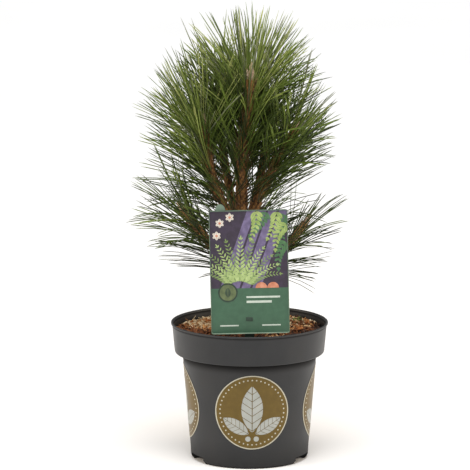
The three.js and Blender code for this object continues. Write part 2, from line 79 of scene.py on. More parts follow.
DUST_SHARES = (0.16, 0.06)
DUST_STREAKS = 60.0
MOULD_RINGS = 320.0
WANDER_SHADES = (0.32, 0.68)
WANDER_GLOSS = (0.3, 0.7)
pot_outside = [
    (UNDERSIDE_RADIUS, 0),
    (UNDERSIDE_RADIUS + 3.2 * MM, 4 * MM),
    (BODY_FOOT_RADIUS, BODY_FOOT),
    (BODY_TOP_RADIUS, COLLAR_FOOT + 0.8 * MM),
    (COLLAR_FOOT_RADIUS - 1.2 * MM, COLLAR_FOOT),
    (COLLAR_FOOT_RADIUS, COLLAR_FOOT + 1.4 * MM),
    (COLLAR_TOP_RADIUS, POT_HEIGHT - RIM_LIP - 0.3 * MM),
    (RIM_RADIUS, POT_HEIGHT - RIM_LIP),
    (RIM_RADIUS, POT_HEIGHT),
]
pot_inside = [
    (RIM_RADIUS - RIM_THICKNESS, POT_HEIGHT),
    (COLLAR_TOP_RADIUS - WALL, POT_HEIGHT - RIM_LIP - 1.2 * MM),
    (COLLAR_FOOT_RADIUS - WALL, COLLAR_FOOT + WALL + 0.5 * MM),
    (BODY_TOP_RADIUS - WALL, COLLAR_FOOT + WALL),
    (BODY_FOOT_RADIUS - WALL, BODY_FOOT - 1 * MM),
    (UNDERSIDE_RADIUS - 1 * MM, WALL),
]


def colour(red, green, blue):
    """A shade given from 0 to 255, as linear light."""
    shades = [c / 255 for c in (red, green, blue)]
    return tuple(c / 12.92 if c <= 0.04045 else ((c + 0.055) / 1.055) ** 2.4 for c in shades) + (1,)


def between(low, high, share):
    """The value at that share of the way from low to high."""
    return low + (high - low) * share


def shaded(tree, kind, output, feeds, **settings):
    """Adds a shader node, sets or links each input named in feeds, and gives one of its outputs."""
    made = tree.nodes.new(kind)
    for name, value in settings.items():
        setattr(made, name, value)
    for name, value in feeds.items():
        if isinstance(value, bpy.types.NodeSocket):
            tree.links.new(value, made.inputs[name])
        else:
            made.inputs[name].default_value = value
    return made.outputs[output]


def blend(tree, factor, a, b, kind="RGBA"):
    """A mix of two colours or, for the kind FLOAT, of two numbers."""
    return shaded(tree, "ShaderNodeMix", "Result", {"Factor": factor, "A": a, "B": b}, data_type=kind)


def ranged(tree, value, low, high, at_low, at_high, **settings):
    """A value moved from one range to another."""
    feeds = {"Value": value, "From Min": low, "From Max": high, "To Min": at_low, "To Max": at_high}
    return shaded(tree, "ShaderNodeMapRange", "Result", feeds, **settings)


def mottled(name, shades, patch, gloss, grain, grain_depth, shine=0.5):
    """A finish whose shade and gloss wander over patches of that size, with a fine grain pressed in it.
    shades run from the darkest to the lightest; gloss is the least and the most roughness."""
    material = bpy.data.materials.new(name)
    material.use_nodes = True
    tree = material.node_tree
    place = shaded(tree, "ShaderNodeTexCoord", "Object", {})
    wander = shaded(tree, "ShaderNodeTexNoise", "Fac", {"Vector": place, "Scale": 1 / patch, "Detail": 5.0})
    shade = shaded(tree, "ShaderNodeValToRGB", "Color", {"Fac": wander})
    stops = shade.node.color_ramp.elements
    while len(stops) < len(shades):
        stops.new(0.5)
    for i, one in enumerate(shades):
        stops[i].position = between(*WANDER_SHADES, i / (len(shades) - 1))
        stops[i].color = colour(*one)
    fine = shaded(tree, "ShaderNodeTexNoise", "Fac", {"Vector": place, "Scale": 1 / grain, "Detail": 3.0})
    relief = shaded(tree, "ShaderNodeBump", "Normal", {"Height": fine, "Distance": grain_depth})
    roughness = ranged(tree, wander, *WANDER_GLOSS, *gloss)
    link_shader(tree, {"Base Color": shade, "Roughness": roughness, "Normal": relief})
    tree.nodes["Principled BSDF"].inputs["Specular IOR Level"].default_value = shine
    return material


def link_shader(tree, feeds):
    """Links outputs to the main shader's inputs."""
    for name, output in feeds.items():
        tree.links.new(output, tree.nodes["Principled BSDF"].inputs[name])


def shader_feed(tree, name):
    """The output that feeds that input of the main shader."""
    return tree.nodes["Principled BSDF"].inputs[name].links[0].from_socket


def deselect():
    """Leaves nothing selected."""
    bpy.ops.object.select_all(action="DESELECT")


def take(piece):
    """Selects one piece alone and makes it the active one."""
    deselect()
    piece.select_set(True)
    bpy.context.view_layer.objects.active = piece


@contextmanager
def editing(everything=True):
    """Edit mode for the active piece, with all of it selected unless told otherwise."""
    bpy.ops.object.mode_set(mode="EDIT")
    if everything:
        bpy.ops.mesh.select_all(action="SELECT")
    yield
    bpy.ops.object.mode_set(mode="OBJECT")


def choose(parts, wanted):
    """Selects those corners, edges or faces for which wanted holds, and no others of their kind."""
    for part in parts:
        part.select = wanted(part)


def coat(piece, material, angle=None):
    """Gives a piece its one material, and shades it smooth across edges up to that angle in degrees."""
    piece.data.materials.clear()
    piece.data.materials.append(material)
    if angle:
        take(piece)
        bpy.ops.object.shade_smooth_by_angle(angle=angle * DEGREE)


def modify(piece, kind, **settings):
    """Adds a modifier with its settings to a piece, and applies it."""
    modifier = piece.modifiers.new(kind.title(), kind)
    for name, value in settings.items():
        setattr(modifier, name, value)
    take(piece)
    bpy.ops.object.modifier_apply(modifier=modifier.name)


def blank(add, stretch=(1, 1, 1), **settings):
    """A new primitive to shape, with its place, turn and size put in its mesh."""
    deselect()
    add(**settings)
    piece = bpy.context.object
    piece.scale = stretch
    bpy.ops.object.transform_apply()
    return piece


def drawn_up(name, outline, sides):
    """A round wall drawn up from a filled circle: each next radius and height extrudes the face again."""
    (radius, height), *rest = outline
    piece = blank(bpy.ops.mesh.primitive_circle_add, location=(0, 0, height),
                  vertices=sides, radius=radius, fill_type="NGON")
    piece.name = name
    with editing():
        for next_radius, next_height in rest:
            bpy.ops.mesh.extrude_region_move(TRANSFORM_OT_translate={"value": (0, 0, next_height - height)})
            spread = next_radius / radius
            bpy.ops.transform.resize(value=(spread, spread, 1), center_override=(0, 0, 0))
            radius, height = next_radius, next_height
        bpy.ops.mesh.select_all(action="SELECT")
        bpy.ops.mesh.normals_make_consistent(inside=False)
    return piece


def block(low, high, rounding=0, turn=0):
    """A block between two corners, with its edges rounded, then turned about Z."""
    low, high = Vector(low), Vector(high)
    piece = blank(bpy.ops.mesh.primitive_cube_add, high - low, size=1, location=(low + high) / 2)
    if rounding:
        with editing():
            bpy.ops.mesh.bevel(offset=rounding, segments=3)
    piece.rotation_euler.z = turn
    bpy.ops.object.transform_apply()
    return piece


def combine(piece, tool, operation):
    """Joins, cuts or keeps what a piece shares with a tool, which is then thrown away."""
    modify(piece, "BOOLEAN", operation=operation, solver="MANIFOLD", object=tool)
    bpy.data.objects.remove(tool)


def joined(pieces, name):
    """Several pieces joined into one mesh."""
    deselect()
    for piece in pieces:
        piece.select_set(True)
    bpy.context.view_layer.objects.active = pieces[0]
    bpy.ops.object.join()
    pieces[0].name = name
    return pieces[0]


def notch_blocks(growth):
    """The blocks of the four foot notches, or, grown by a wall, their housings."""
    across = NOTCH_WIDTH / 2 + growth
    low = (NOTCH_INNER_RADIUS - growth, -across, -NOTCH_HEIGHT)
    high = (RIM_RADIUS + growth, across, NOTCH_HEIGHT + growth)
    turns = [middle * DEGREE for middle in NOTCH_MIDDLES]
    return joined([block(low, high, NOTCH_ROUNDING, turn) for turn in turns], "notches")


def pot_plastic():
    """Satin anthracite, a little dusty towards the foot, with fine rings left by the turned mould.
    It is painted dark and dull there as shade: in the bands under the collar and the rim's lip, and towards
    the foot."""
    material = mottled("pot_plastic", ((29, 31, 34), (33, 35, 38), (38, 39, 41)),
                       30 * MM, (0.4, 0.5), 1.1 * MM, 0.02 * MM, 0.38)
    tree = material.node_tree

    def worked(operation, a, b):
        return shaded(tree, "ShaderNodeMath", "Value", {0: a, 1: b}, operation=operation)

    place = shaded(tree, "ShaderNodeTexCoord", "Object", {})
    height = shaded(tree, "ShaderNodeSeparateXYZ", "Z", {"Vector": place})
    stretched = shaded(tree, "ShaderNodeMapping", "Vector", {"Vector": place, "Scale": (1, 1, 0.25)})
    streak_feeds = {"Vector": stretched, "Scale": DUST_STREAKS, "Detail": 6.0}
    streaks = shaded(tree, "ShaderNodeTexNoise", "Fac", streak_feeds)
    dust = worked("MULTIPLY", streaks, ranged(tree, height, 0.0, COLLAR_FOOT, *DUST_SHARES))
    dusty = blend(tree, dust, shader_feed(tree, "Base Color"), colour(58, 55, 50))
    # Painted shade: darker towards the foot and in the bands under the collar and the rim's lip, where
    # shadow falls.
    painted_shade = ranged(tree, height, 0.0, FOOT_SHADE_BAND, FOOT_PAINTED_SHADE, 0.0)
    for top, depth, most in PAINTED_SHADE_BANDS:
        rising = ranged(tree, height, top - depth, top - 0.05 * depth, 0.0, most,
                        interpolation_type="SMOOTHSTEP")
        below = worked("LESS_THAN", height, top + 0.4 * MM)
        painted_shade = worked("ADD", painted_shade, worked("MULTIPLY", rising, below))
    ring_feeds = {"Vector": place, "Scale": MOULD_RINGS, "Distortion": 0.4}
    rings = shaded(tree, "ShaderNodeTexWave", "Fac", ring_feeds, bands_direction="Z")
    ringed = {"Height": rings, "Distance": 0.01 * MM, "Normal": shader_feed(tree, "Normal")}
    # The painted shade blends the colour towards near black and the gloss towards fully rough.
    link_shader(tree, {"Base Color": blend(tree, painted_shade, dusty, colour(3, 3, 3)),
                       "Roughness": blend(tree, painted_shade, shader_feed(tree, "Roughness"), 1.0, "FLOAT"),
                       "Normal": shaded(tree, "ShaderNodeBump", "Normal", ringed)})
    return material


pot = drawn_up("pot_moulding", pot_outside + pot_inside, POT_SIDES)
modify(pot, "BEVEL", width=ROUNDED_EDGE, segments=3, limit_method="ANGLE", angle_limit=12 * DEGREE)
housings = notch_blocks(WALL)
combine(housings, drawn_up("envelope", pot_outside, POT_SIDES), "INTERSECT")
combine(pot, housings, "UNION")
combine(pot, notch_blocks(0), "DIFFERENCE")
for i in range(DRAIN_HOLES):
    turn = i * FULL_TURN / DRAIN_HOLES
    place = (DRAIN_CIRCLE_RADIUS * math.cos(turn), DRAIN_CIRCLE_RADIUS * math.sin(turn), 0)
    deselect()
    hole = {"vertices": 32, "radius": DRAIN_HOLE_RADIUS, "depth": 4 * WALL}
    bpy.ops.mesh.primitive_cylinder_add(location=place, **hole)
    combine(pot, bpy.context.object, "DIFFERENCE")
coat(pot, pot_plastic(), 32)
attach(pot, "root")
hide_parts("pot")

# Badges: four round prints moulded into the pot's body, a silver and cream ornament on a gold ground.
# Each is cut flat from circles, laid against the body and given the thickness of its ink.
BADGES = 4
BADGE_HALF_HEIGHT = 46 * MM
BADGE_HALF_WIDTH = 43.7 * MM
BADGE_MIDDLE = 71 * MM
BADGE_TURN = 2.4 * DEGREE
BORDER = 1.3 * MM
FOLD_EVERY = 3.5 * MM
INK = 0.1 * MM
PROUD = {"ground": 0.1 * MM, "ornament": 0.26 * MM}
STANDOFF = 120 * MM
BEADS = 46
BEAD_RADIUS = 0.95 * MM
BEAD_CIRCLE = 0.875
GOLD_INK = (90, 72, 20), (94, 75, 23), (99, 80, 27)
CREAM_INK = (172, 170, 152), (178, 175, 158), (184, 182, 166)
SILVER_INK = (152, 156, 150), (158, 161, 156), (164, 167, 162)
VEIN_RISE = 34 * DEGREE
VEIN_HALF_WIDTH = 0.35 * MM
VEIN_SPAN = (-0.12, 0.82)
MIDRIB_WIDTH = 0.9 * MM
ORNAMENT_FOOT = -27 * MM
LEAF = {"length": 58 * MM, "half_width": 13 * MM, "veins": 7}
SIDE_LEAF_TURN = 58 * DEGREE
SIDE_LEAF_SIZE = 0.62
BERRY_RADIUS = 3.2 * MM
COPY_STEP = 0.0032 * MM
COPY_STEPS = 23


def flat_circle(radius, vertices, x=0, z=0):
    """A filled circle that faces the front."""
    return blank(bpy.ops.mesh.primitive_circle_add, location=(x, 0, z), rotation=(math.pi / 2, 0, 0),
                 vertices=vertices, radius=radius, fill_type="NGON")


def cut_away(piece, place, direction):
    """Cuts a flat piece along a line and throws away what lies on the side that the direction points to."""
    take(piece)
    with editing():
        bpy.ops.mesh.bisect(plane_co=place, plane_no=direction, clear_outer=True)


def ring_shape(outer, inner, vertices, x=0, z=0):
    """A flat ring: a circle whose inset middle is deleted."""
    piece = flat_circle(outer, vertices, x, z)
    with editing():
        bpy.ops.mesh.inset(thickness=(outer - inner) * math.cos(math.pi / vertices))
        bpy.ops.mesh.delete(type="FACE")
    return piece


def leaf_shape(length, half_width, midrib, vertices=40):
    """A flat pointed leaf that stands on the origin: two arcs of a circle each side of a bare midrib."""
    bow = (length * length / 4 + half_width * half_width) / (2 * half_width)
    halves = []
    for side in (1, -1):
        half = flat_circle(bow, vertices, side * (half_width - bow), length / 2)
        cut_away(half, (side * midrib / 2, 0, 0), (-side, 0, 0))
        halves.append(half)
    return joined(halves, "leaf")


def duplicate(piece, move):
    """A copy of a piece, moved."""
    copy = piece.copy()
    copy.data = piece.data.copy()
    bpy.context.collection.objects.link(copy)
    copy.data.transform(move)
    return copy


def copies(shape, places):
    """Copies of a flat shape, at each x, z, turn and size, joined. The shape itself is thrown away.
    Neighbours lie a hair apart in depth, so that they may overlap."""
    made = []
    for i, (x, z, turn, size) in enumerate(places):
        place = Matrix.Translation((x, -COPY_STEP * (i % COPY_STEPS), z))
        made.append(duplicate(shape, place @ Matrix.Rotation(turn, 4, "Y") @ Matrix.Scale(size, 4)))
    bpy.data.objects.remove(shape)
    return joined(made, "copies")


def laid_on_body(piece, name, proud, material, turn):
    """Folds a flat piece round the pot's body, that far proud, thickens it and turns it to its place."""
    take(piece)
    piece.data.transform(Matrix.Translation((0, -STANDOFF, BADGE_MIDDLE)))
    folds = int(BADGE_HALF_WIDTH / FOLD_EVERY)
    with editing():
        for fold in range(-folds, folds + 1):
            bpy.ops.mesh.select_all(action="SELECT")
            bpy.ops.mesh.bisect(plane_co=(fold * FOLD_EVERY, 0, 0), plane_no=(1, 0, 0))
    modify(piece, "SHRINKWRAP", target=pot, wrap_method="PROJECT", use_project_y=True,
           use_negative_direction=True, cull_face="BACK", offset=proud)
    modify(piece, "SOLIDIFY", thickness=INK, offset=1)
    piece.data.transform(Matrix.Rotation(turn, 4, "Z"))
    coat(piece, material, 30)
    piece.name = name
    return piece


def narrowed(piece):
    """Brings a round shape to the badge's width, which is a little less than its height."""
    piece.data.transform(Matrix.Scale(BADGE_HALF_WIDTH / BADGE_HALF_HEIGHT, 4, (1, 0, 0)))
    return piece


def ground_shape():
    """The plain gold ground."""
    return narrowed(flat_circle(BADGE_HALF_HEIGHT, 96))


def border_shapes():
    """A cream rim, and a ring of small cream beads inside it."""
    rim = ring_shape(BADGE_HALF_HEIGHT, BADGE_HALF_HEIGHT - BORDER, 96)
    circle = BEAD_CIRCLE * BADGE_HALF_HEIGHT
    turns = [i * FULL_TURN / BEADS for i in range(BEADS)]
    places = [(circle * math.sin(turn), circle * math.cos(turn), 0, 1) for turn in turns]
    beads = copies(flat_circle(BEAD_RADIUS, 12), places)
    return narrowed(joined([rim, beads], "border"))


def veined_leaf(length, half_width, veins):
    """A broad silver leaf on the origin, parted by its bare midrib and side veins."""
    parts = []
    for side in (1, -1):
        for vein in range(veins):
            part = leaf_shape(length, half_width, MIDRIB_WIDTH)
            cut_away(part, (0, 0, 0), (-side, 0, 0))
            rise = Vector((-side * math.sin(VEIN_RISE), 0, math.cos(VEIN_RISE)))
            heights = [between(*VEIN_SPAN, k / (veins - 1)) * length for k in (vein, vein + 1)]
            low, high = (Vector((0, 0, height)) for height in heights)
            if vein > 0:
                cut_away(part, low + rise * VEIN_HALF_WIDTH, -rise)
            if vein < veins - 1:
                cut_away(part, high - rise * VEIN_HALF_WIDTH, rise)
            parts.append(part)
    return joined(parts, "leaf")


def spray_shapes():
    """Three broad leaves that spread from one foot, over two berries."""
    foot = ORNAMENT_FOOT
    places = [(0, foot + 2 * MM, 0, 1)]
    places += [(side * 4 * MM, foot, side * SIDE_LEAF_TURN, SIDE_LEAF_SIZE) for side in (-1, 1)]
    leaves = copies(veined_leaf(**LEAF), places)
    berries = [flat_circle(BERRY_RADIUS, 24, side * 5 * MM, foot - 6 * MM) for side in (-1, 1)]
    return joined([leaves, *berries], "spray")


gold = mottled("badge_gold", GOLD_INK, 9 * MM, (0.32, 0.42), 0.5 * MM, 0.01 * MM, 0.34)
cream = mottled("badge_cream", CREAM_INK, 9 * MM, (0.34, 0.44), 0.5 * MM, 0.01 * MM)
silver = mottled("badge_silver", SILVER_INK, 9 * MM, (0.3, 0.4), 0.5 * MM, 0.01 * MM)
layers = [
    ("ground", ground_shape, PROUD["ground"], gold),
    ("border", border_shapes, PROUD["ornament"], cream),
    ("leaves", spray_shapes, PROUD["ornament"], silver),
]
for i in range(BADGES):
    turn = BADGE_TURN + i * FULL_TURN / BADGES
    for layer, shape, proud, ink in layers:
        badge = laid_on_body(shape(), f"badge_{layer}_{i + 1}", proud, ink, turn)
        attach(badge, "root")
        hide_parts(f"badge_{i + 1}")

# Growing medium: a plug of composted bark and peat that fills the pot to 12 mm below its rim.
# The plug is drawn up like the pot and its top made lumpy. Loose bark lies on it, as chips, slivers and
# crumbs, each a bent slab of few faces. It has six shades, paler to the left and, as painted shade, darker
# at the front.
SOIL_LEVEL = POT_HEIGHT - 12 * MM
PLUG_GAP = 0.4 * MM
PLUG_EDGE_GAP = 2.2 * MM
PLUG_RINGS = 26
BARK_FROM_RADIUS = 9 * MM
BARK_TO_RADIUS = 87.4 * MM
# Each kind of bark: how many, its ranges of length, width, thickness and lift in millimetres, and its tilt.
BARK_KINDS = [
    (150, (7, 12), (2.6, 4.6), (1.4, 2.6), (0.4, 4), 0.8),
    (1000, (4, 9), (1.6, 3.4), (0.9, 1.9), (-0.6, 3.2), 0.8),
    (1400, (5, 13), (0.7, 1.5), (0.5, 1.0), (0.2, 4.2), 0.6),
    (2000, (1.6, 3.4), (0.9, 2.0), (0.7, 1.5), (-0.6, 2), 0.9),
]
CHIP_ENDS = (0.25, 0.9), (0.2, 0.8)
CHIP_MIDDLE = 0.15
CHIP_BEND = 1.5
CHIP_SECTION = (-1, -1), (1, -1), (0.8, 1), (-0.8, 1)
MOSS = (18, (4, 8), (0.8, 1.4), (0.5, 0.9), (3, 6), 0.9)
MOSS_PLACE = (58 * MM, 44 * MM)
MOSS_SPREAD = 0.05
MOSS_SHADES = (70, 92, 30), (98, 122, 44), (132, 152, 66)
EDGE_BAND = 8 * MM
PALER_LEFT = {"most": 0.36, "within": 60 * MM}
# Painted shade on the chips in front, where the label and the rim cast shadow: how dark, from and within
# what distance behind the rim, and the rim's radius.
FRONT_PAINTED_SHADE = {"most": 0.76, "from": 76 * MM, "within": 14 * MM, "rim": 92 * MM}
PALE_PATCH = {"x": 30 * MM, "half": 11 * MM}
SPREAD_ALONG = 0.7548776662
SPREAD_ROUND = 0.569840291
BARK_SHADES = {
    "black": (0.14, ((40, 22, 11), (56, 31, 16), (72, 42, 23))),
    "brown": (0.15, ((94, 52, 24), (116, 67, 33), (134, 82, 43))),
    "russet": (0.16, ((146, 87, 42), (166, 103, 54), (182, 119, 68))),
    "orange": (0.19, ((178, 124, 70), (196, 142, 87), (210, 158, 104))),
    "tan": (0.2, ((196, 158, 112), (212, 176, 132), (224, 192, 150))),
    "straw": (0.16, ((214, 190, 150), (226, 204, 168), (236, 218, 186))),
}


def chance(a, b):
    """A repeatable number from 0 to 1 for each pair of whole numbers."""
    s = np.sin(np.asarray(a) * 12.9898 + b * 78.233) * 43758.5453
    return s - np.floor(s)


def lump(x, y):
    """How far the growing medium's top stands above its level there."""
    a, b = np.asarray(x) / MM, np.asarray(y) / MM
    wave = 1.3 * np.sin(a * 0.13 + 1) * np.cos(b * 0.11) + 0.8 * np.sin(a * 0.31 - b * 0.27)
    return wave * MM * (np.hypot(a, b) > 20)


def tube_piece(name, rings, stops, material):
    """A piece of many closed tubes, made straight from the corners of their rings, four to a ring."""
    corners = rings.reshape(-1, 3)
    ring = np.arange(4)
    beside = (ring + 1) % 4
    wall = np.stack([ring, beside, beside + 4, ring + 4], 1)
    walls = [wall + 4 * stop for stop in range(stops - 1)]
    tube = np.concatenate([*walls, [ring[::-1], ring + 4 * (stops - 1)]])
    quads = (tube + np.arange(0, len(corners), 4 * stops)[:, None, None]).reshape(-1, 4)
    mesh = bpy.data.meshes.new(name)
    mesh.vertices.add(len(corners))
    mesh.vertices.foreach_set("co", corners.astype(np.float32).ravel())
    mesh.loops.add(quads.size)
    mesh.loops.foreach_set("vertex_index", quads.astype(np.int32).ravel())
    mesh.polygons.add(len(quads))
    mesh.polygons.foreach_set("loop_start", np.arange(0, quads.size, 4, dtype=np.int32))
    mesh.update(calc_edges=True)
    mesh.materials.append(material)
    piece = bpy.data.objects.new(name, mesh)
    bpy.context.collection.objects.link(piece)
    return piece


def dealt_out(parts, numbers, table):
    """Deals parts into the rows of a table of shades, each row's share of them by their numbers."""
    reached = 0.0
    for name, (share, shades) in table.items():
        yield name, shades, parts[(numbers >= reached) & (numbers < reached + share)]
        reached += share


def bark_pieces(kind, seed):
    """Corners of one kind of loose bark: slabs of three cross sections, narrowed at the ends and bent."""
    n, *sizes, lifts, tilt = kind
    index = np.arange(n)
    ask = [chance(index, seed + k) for k in range(14)]
    least = (BARK_FROM_RADIUS / BARK_TO_RADIUS) ** 2
    reach = BARK_TO_RADIUS * np.sqrt(between(least, 1, (index * SPREAD_ALONG + ask[0] * 0.01) % 1))
    round_pot = FULL_TURN * ((index * SPREAD_ROUND) % 1)
    centre = np.stack([reach * np.cos(round_pot), reach * np.sin(round_pot)], 1)
    length, width, thick = [between(*size, ask[i + 1])[:, None] * MM / 2 for i, size in enumerate(sizes)]
    heading = FULL_TURN * ask[4]
    edge = reach > BARK_TO_RADIUS - EDGE_BAND
    heading = np.where(edge, round_pot + math.pi / 2 + (ask[4] - 0.5) * 0.5, heading)
    pitch, roll = ((share - 0.5) * 2 * tilt for share in ask[5:7])
    along = np.stack([np.cos(heading) * np.cos(pitch), np.sin(heading) * np.cos(pitch), np.sin(pitch)], 1)
    level = np.stack([-np.sin(heading), np.cos(heading), np.zeros(n)], 1)
    up = np.cross(along, level)
    across = level * np.cos(roll)[:, None] + up * np.sin(roll)[:, None]
    up = np.cross(along, across)
    lift = between(*lifts, ask[7]) * MM
    height = SOIL_LEVEL + lump(*centre.T) + lift * np.clip((reach - BARK_FROM_RADIUS) / (12 * MM), 0.2, 1)
    middle = np.concatenate([centre, height[:, None]], 1)
    rings = []
    first, last = (between(*end, share) for end, share in zip(CHIP_ENDS, ask[8:10]))
    for stop, narrow in ((-1, first), (CHIP_MIDDLE, np.ones(n)), (1, last)):
        bend = (1 - stop * stop) * (ask[10] - 0.4)[:, None] * thick * CHIP_BEND
        skew = across * width * ((ask[11] - 0.5)[:, None] * stop)
        place = middle + along * length * stop + up * bend + skew
        for u, v in CHIP_SECTION:
            jag = 0.75 + 0.5 * chance(index * 7 + int(3 * stop), seed + 20 + u * 3 + v)[:, None]
            rings.append(place + across * width * u * jag * narrow[:, None] + up * thick * v)
    return np.stack(rings, 1)


def soil_plug():
    """The plug, drawn up inside the pot's wall, with its top inset into rings and moved to the lumps."""
    wall = [(radius - PLUG_GAP, height + PLUG_GAP) for radius, height in reversed(pot_inside[2:5])]
    foot = (UNDERSIDE_RADIUS - WALL, WALL + 0.3 * MM)
    edge = COLLAR_TOP_RADIUS - WALL - PLUG_EDGE_GAP
    piece = drawn_up("soil_plug", [foot, *wall, (edge, SOIL_LEVEL - 2 * MM), (edge - MM, SOIL_LEVEL)], 96)
    choose(piece.data.polygons, lambda face: face.normal.z > 0.99 and face.center.z > SOIL_LEVEL - MM)
    with editing(everything=False):
        for _ in range(PLUG_RINGS):
            bpy.ops.mesh.inset(thickness=edge / (PLUG_RINGS + 1.2))
    for corner in piece.data.vertices:
        if corner.co.z > SOIL_LEVEL - 0.1 * MM:
            corner.co.z += float(lump(corner.co.x, corner.co.y))
    combine(piece, notch_blocks(WALL + 0.3 * MM), "DIFFERENCE")
    return piece


plug = soil_plug()
coat(plug, mottled("peat", ((26, 16, 10), (46, 29, 19), (78, 50, 32)),
                   3 * MM, (0.85, 0.98), 1.2 * MM, 0.8 * MM))
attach(plug, "root")
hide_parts("growing_medium")
loose = np.concatenate([bark_pieces(kind, 40 + 60 * k) for k, kind in enumerate(BARK_KINDS)])
bark_x, bark_y = loose[:, 0, 0], loose[:, 0, 1]
paler = PALER_LEFT["most"] * np.clip(-bark_x / PALER_LEFT["within"], 0, 1)
# Painted shade: chips near the front rim, under the label, are dealt darker shades, except in a pale patch.
behind_rim = bark_y + np.sqrt(np.maximum(FRONT_PAINTED_SHADE["rim"] ** 2 - bark_x ** 2, 0))
painted_shade_in_front = np.clip((FRONT_PAINTED_SHADE["from"] - behind_rim) / FRONT_PAINTED_SHADE["within"], 0, 1)
painted_shade_in_front *= np.abs(bark_x - PALE_PATCH["x"]) > PALE_PATCH["half"]
dealt = (chance(np.arange(len(loose)), 5) + paler) * (1 - FRONT_PAINTED_SHADE["most"] * painted_shade_in_front)
dealt = np.minimum(dealt, 0.999)
for shade, shades, chosen in dealt_out(loose, dealt, BARK_SHADES):
    skin = mottled(f"bark_chips_{shade}", shades, 1.6 * MM, (0.72, 0.95), 0.5 * MM, 0.3 * MM)
    bark = tube_piece(f"bark_chips_{shade}", chosen, 3, skin)
    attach(bark, "root")
    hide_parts("growing_medium")
# The tuft of moss is made like the bark, from slim pieces that are then drawn together.
tuft = bark_pieces(MOSS, 700)
middles = tuft.mean(1, keepdims=True)
tuft[:, :, :2] += np.array(MOSS_PLACE) - (1 - MOSS_SPREAD) * middles[:, :, :2]
soft_green = mottled("moss", MOSS_SHADES, 1.6 * MM, (0.6, 0.8), 0.5 * MM, 0.1 * MM)
moss = tube_piece("moss_tuft", tuft, 3, soft_green)
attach(moss, "root")
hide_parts("growing_medium")

# Label: a thin plastic card printed on its front, standing on a moulded stake behind it.
# The card is a block with rounded corners and a round tab, and its print is laid on in thin flat inks:
# a fern, sprigs and flowers on plum over a green band, with a small seal and a few plain rules.
CARD_WIDTH = 93.5 * MM
CARD_HEIGHT = 149 * MM
CARD_THICKNESS = 0.8 * MM
CARD_CORNER = 3 * MM
CARD_PLACE = Vector((1.4 * MM, -76 * MM, POT_HEIGHT + 1 * MM))
CARD_LEAN = 1.25 * DEGREE
TAB_HALF_WIDTH = 6 * MM
TAB_HEIGHT = 8 * MM
TAB_MIDDLE = -33 * MM
PRINT_EDGE = 0.06 * MM
BAND_TOP = 55 * MM
PRINT_LAYER = 0.08 * MM
PRINT_THICKNESS = 0.056 * MM
SLATS = (-52 * MM, -40 * MM, -28 * MM, -16 * MM)
SLAT_WIDTH = 9.6 * MM
SLAT_TURN = 20 * DEGREE
FROND_LENGTH = 60 * MM
LEAFLET_TURN = 42 * DEGREE
SEAL = (-26 * MM, 50 * MM)
SEAL_RADIUS = 9.8 * MM
CLIP_PROUD = 0.9 * MM
CLIP_RISE = 15 * MM
CLIP_HEIGHT = 4.8 * MM
CLIP_HALF_WIDTH = 4 * MM
STAKE_GAP = 0.3 * MM
STAKE_WIDTH = 11 * MM
STAKE_THICKNESS = 1.6 * MM
STAKE_TOP = POT_HEIGHT + 36 * MM
STAKE_DEPTH = 54 * MM
STAKE_POINT_LENGTH = 14 * MM
STAKE_POINT = (0.06, 0.6, 1)
card_stand = Matrix.Translation(CARD_PLACE) @ Matrix.Rotation(-CARD_LEAN, 4, "Y")


def card_body():
    """The card, with its four corners rounded and the tab joined on its top edge."""
    half = CARD_WIDTH / 2
    piece = block((-half, 0, 0), (half, CARD_THICKNESS, CARD_HEIGHT))
    ends = [corner.co for corner in piece.data.vertices]
    choose(piece.data.vertices, lambda corner: False)
    choose(piece.data.polygons, lambda face: False)
    for edge in piece.data.edges:
        start, end = (ends[i].y for i in edge.vertices)
        edge.select = abs(start - end) > CARD_THICKNESS / 2
    with editing(everything=False):
        bpy.ops.mesh.select_mode(type="EDGE")
        bpy.ops.mesh.bevel(offset=CARD_CORNER, segments=8)
        bpy.ops.mesh.select_mode(type="VERT")
    place = (TAB_MIDDLE, CARD_THICKNESS / 2, CARD_HEIGHT)
    tab = blank(bpy.ops.mesh.primitive_cylinder_add, (TAB_HALF_WIDTH, TAB_HEIGHT, 1), vertices=48, radius=1,
                depth=CARD_THICKNESS, location=place, rotation=(math.pi / 2, 0, 0))
    combine(piece, tab, "UNION")
    return piece


def plate(low, high):
    """A flat rectangle that faces the front, from its low left corner to its high right one."""
    (x0, z0), (x1, z1) = low, high
    piece = blank(bpy.ops.mesh.primitive_plane_add, (x1 - x0, z1 - z0, 1), size=1,
                  rotation=(math.pi / 2, 0, 0))
    piece.data.transform(Matrix.Translation(((x0 + x1) / 2, 0, (z0 + z1) / 2)))
    return piece


def within(piece, low, high):
    """Trims a flat piece to a rectangle."""
    for place, direction in (((low[0], 0, 0), (-1, 0, 0)), ((high[0], 0, 0), (1, 0, 0)),
                             ((0, 0, low[1]), (0, 0, -1)), ((0, 0, high[1]), (0, 0, 1))):
        cut_away(piece, place, direction)
    return piece


def inked(piece, name, layer, shades):
    """Puts a flat shape on the card as that layer of ink."""
    piece.data.transform(Matrix.Translation((0, -layer * PRINT_LAYER, 0)))
    modify(piece, "SOLIDIFY", thickness=PRINT_THICKNESS, offset=0)
    piece.data.transform(card_stand)
    coat(piece, mottled(name, shades, 6 * MM, (0.3, 0.42), 0.4 * MM, 0.006 * MM))
    piece.name = name
    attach(piece, "root")
    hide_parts("label_card")
    return piece


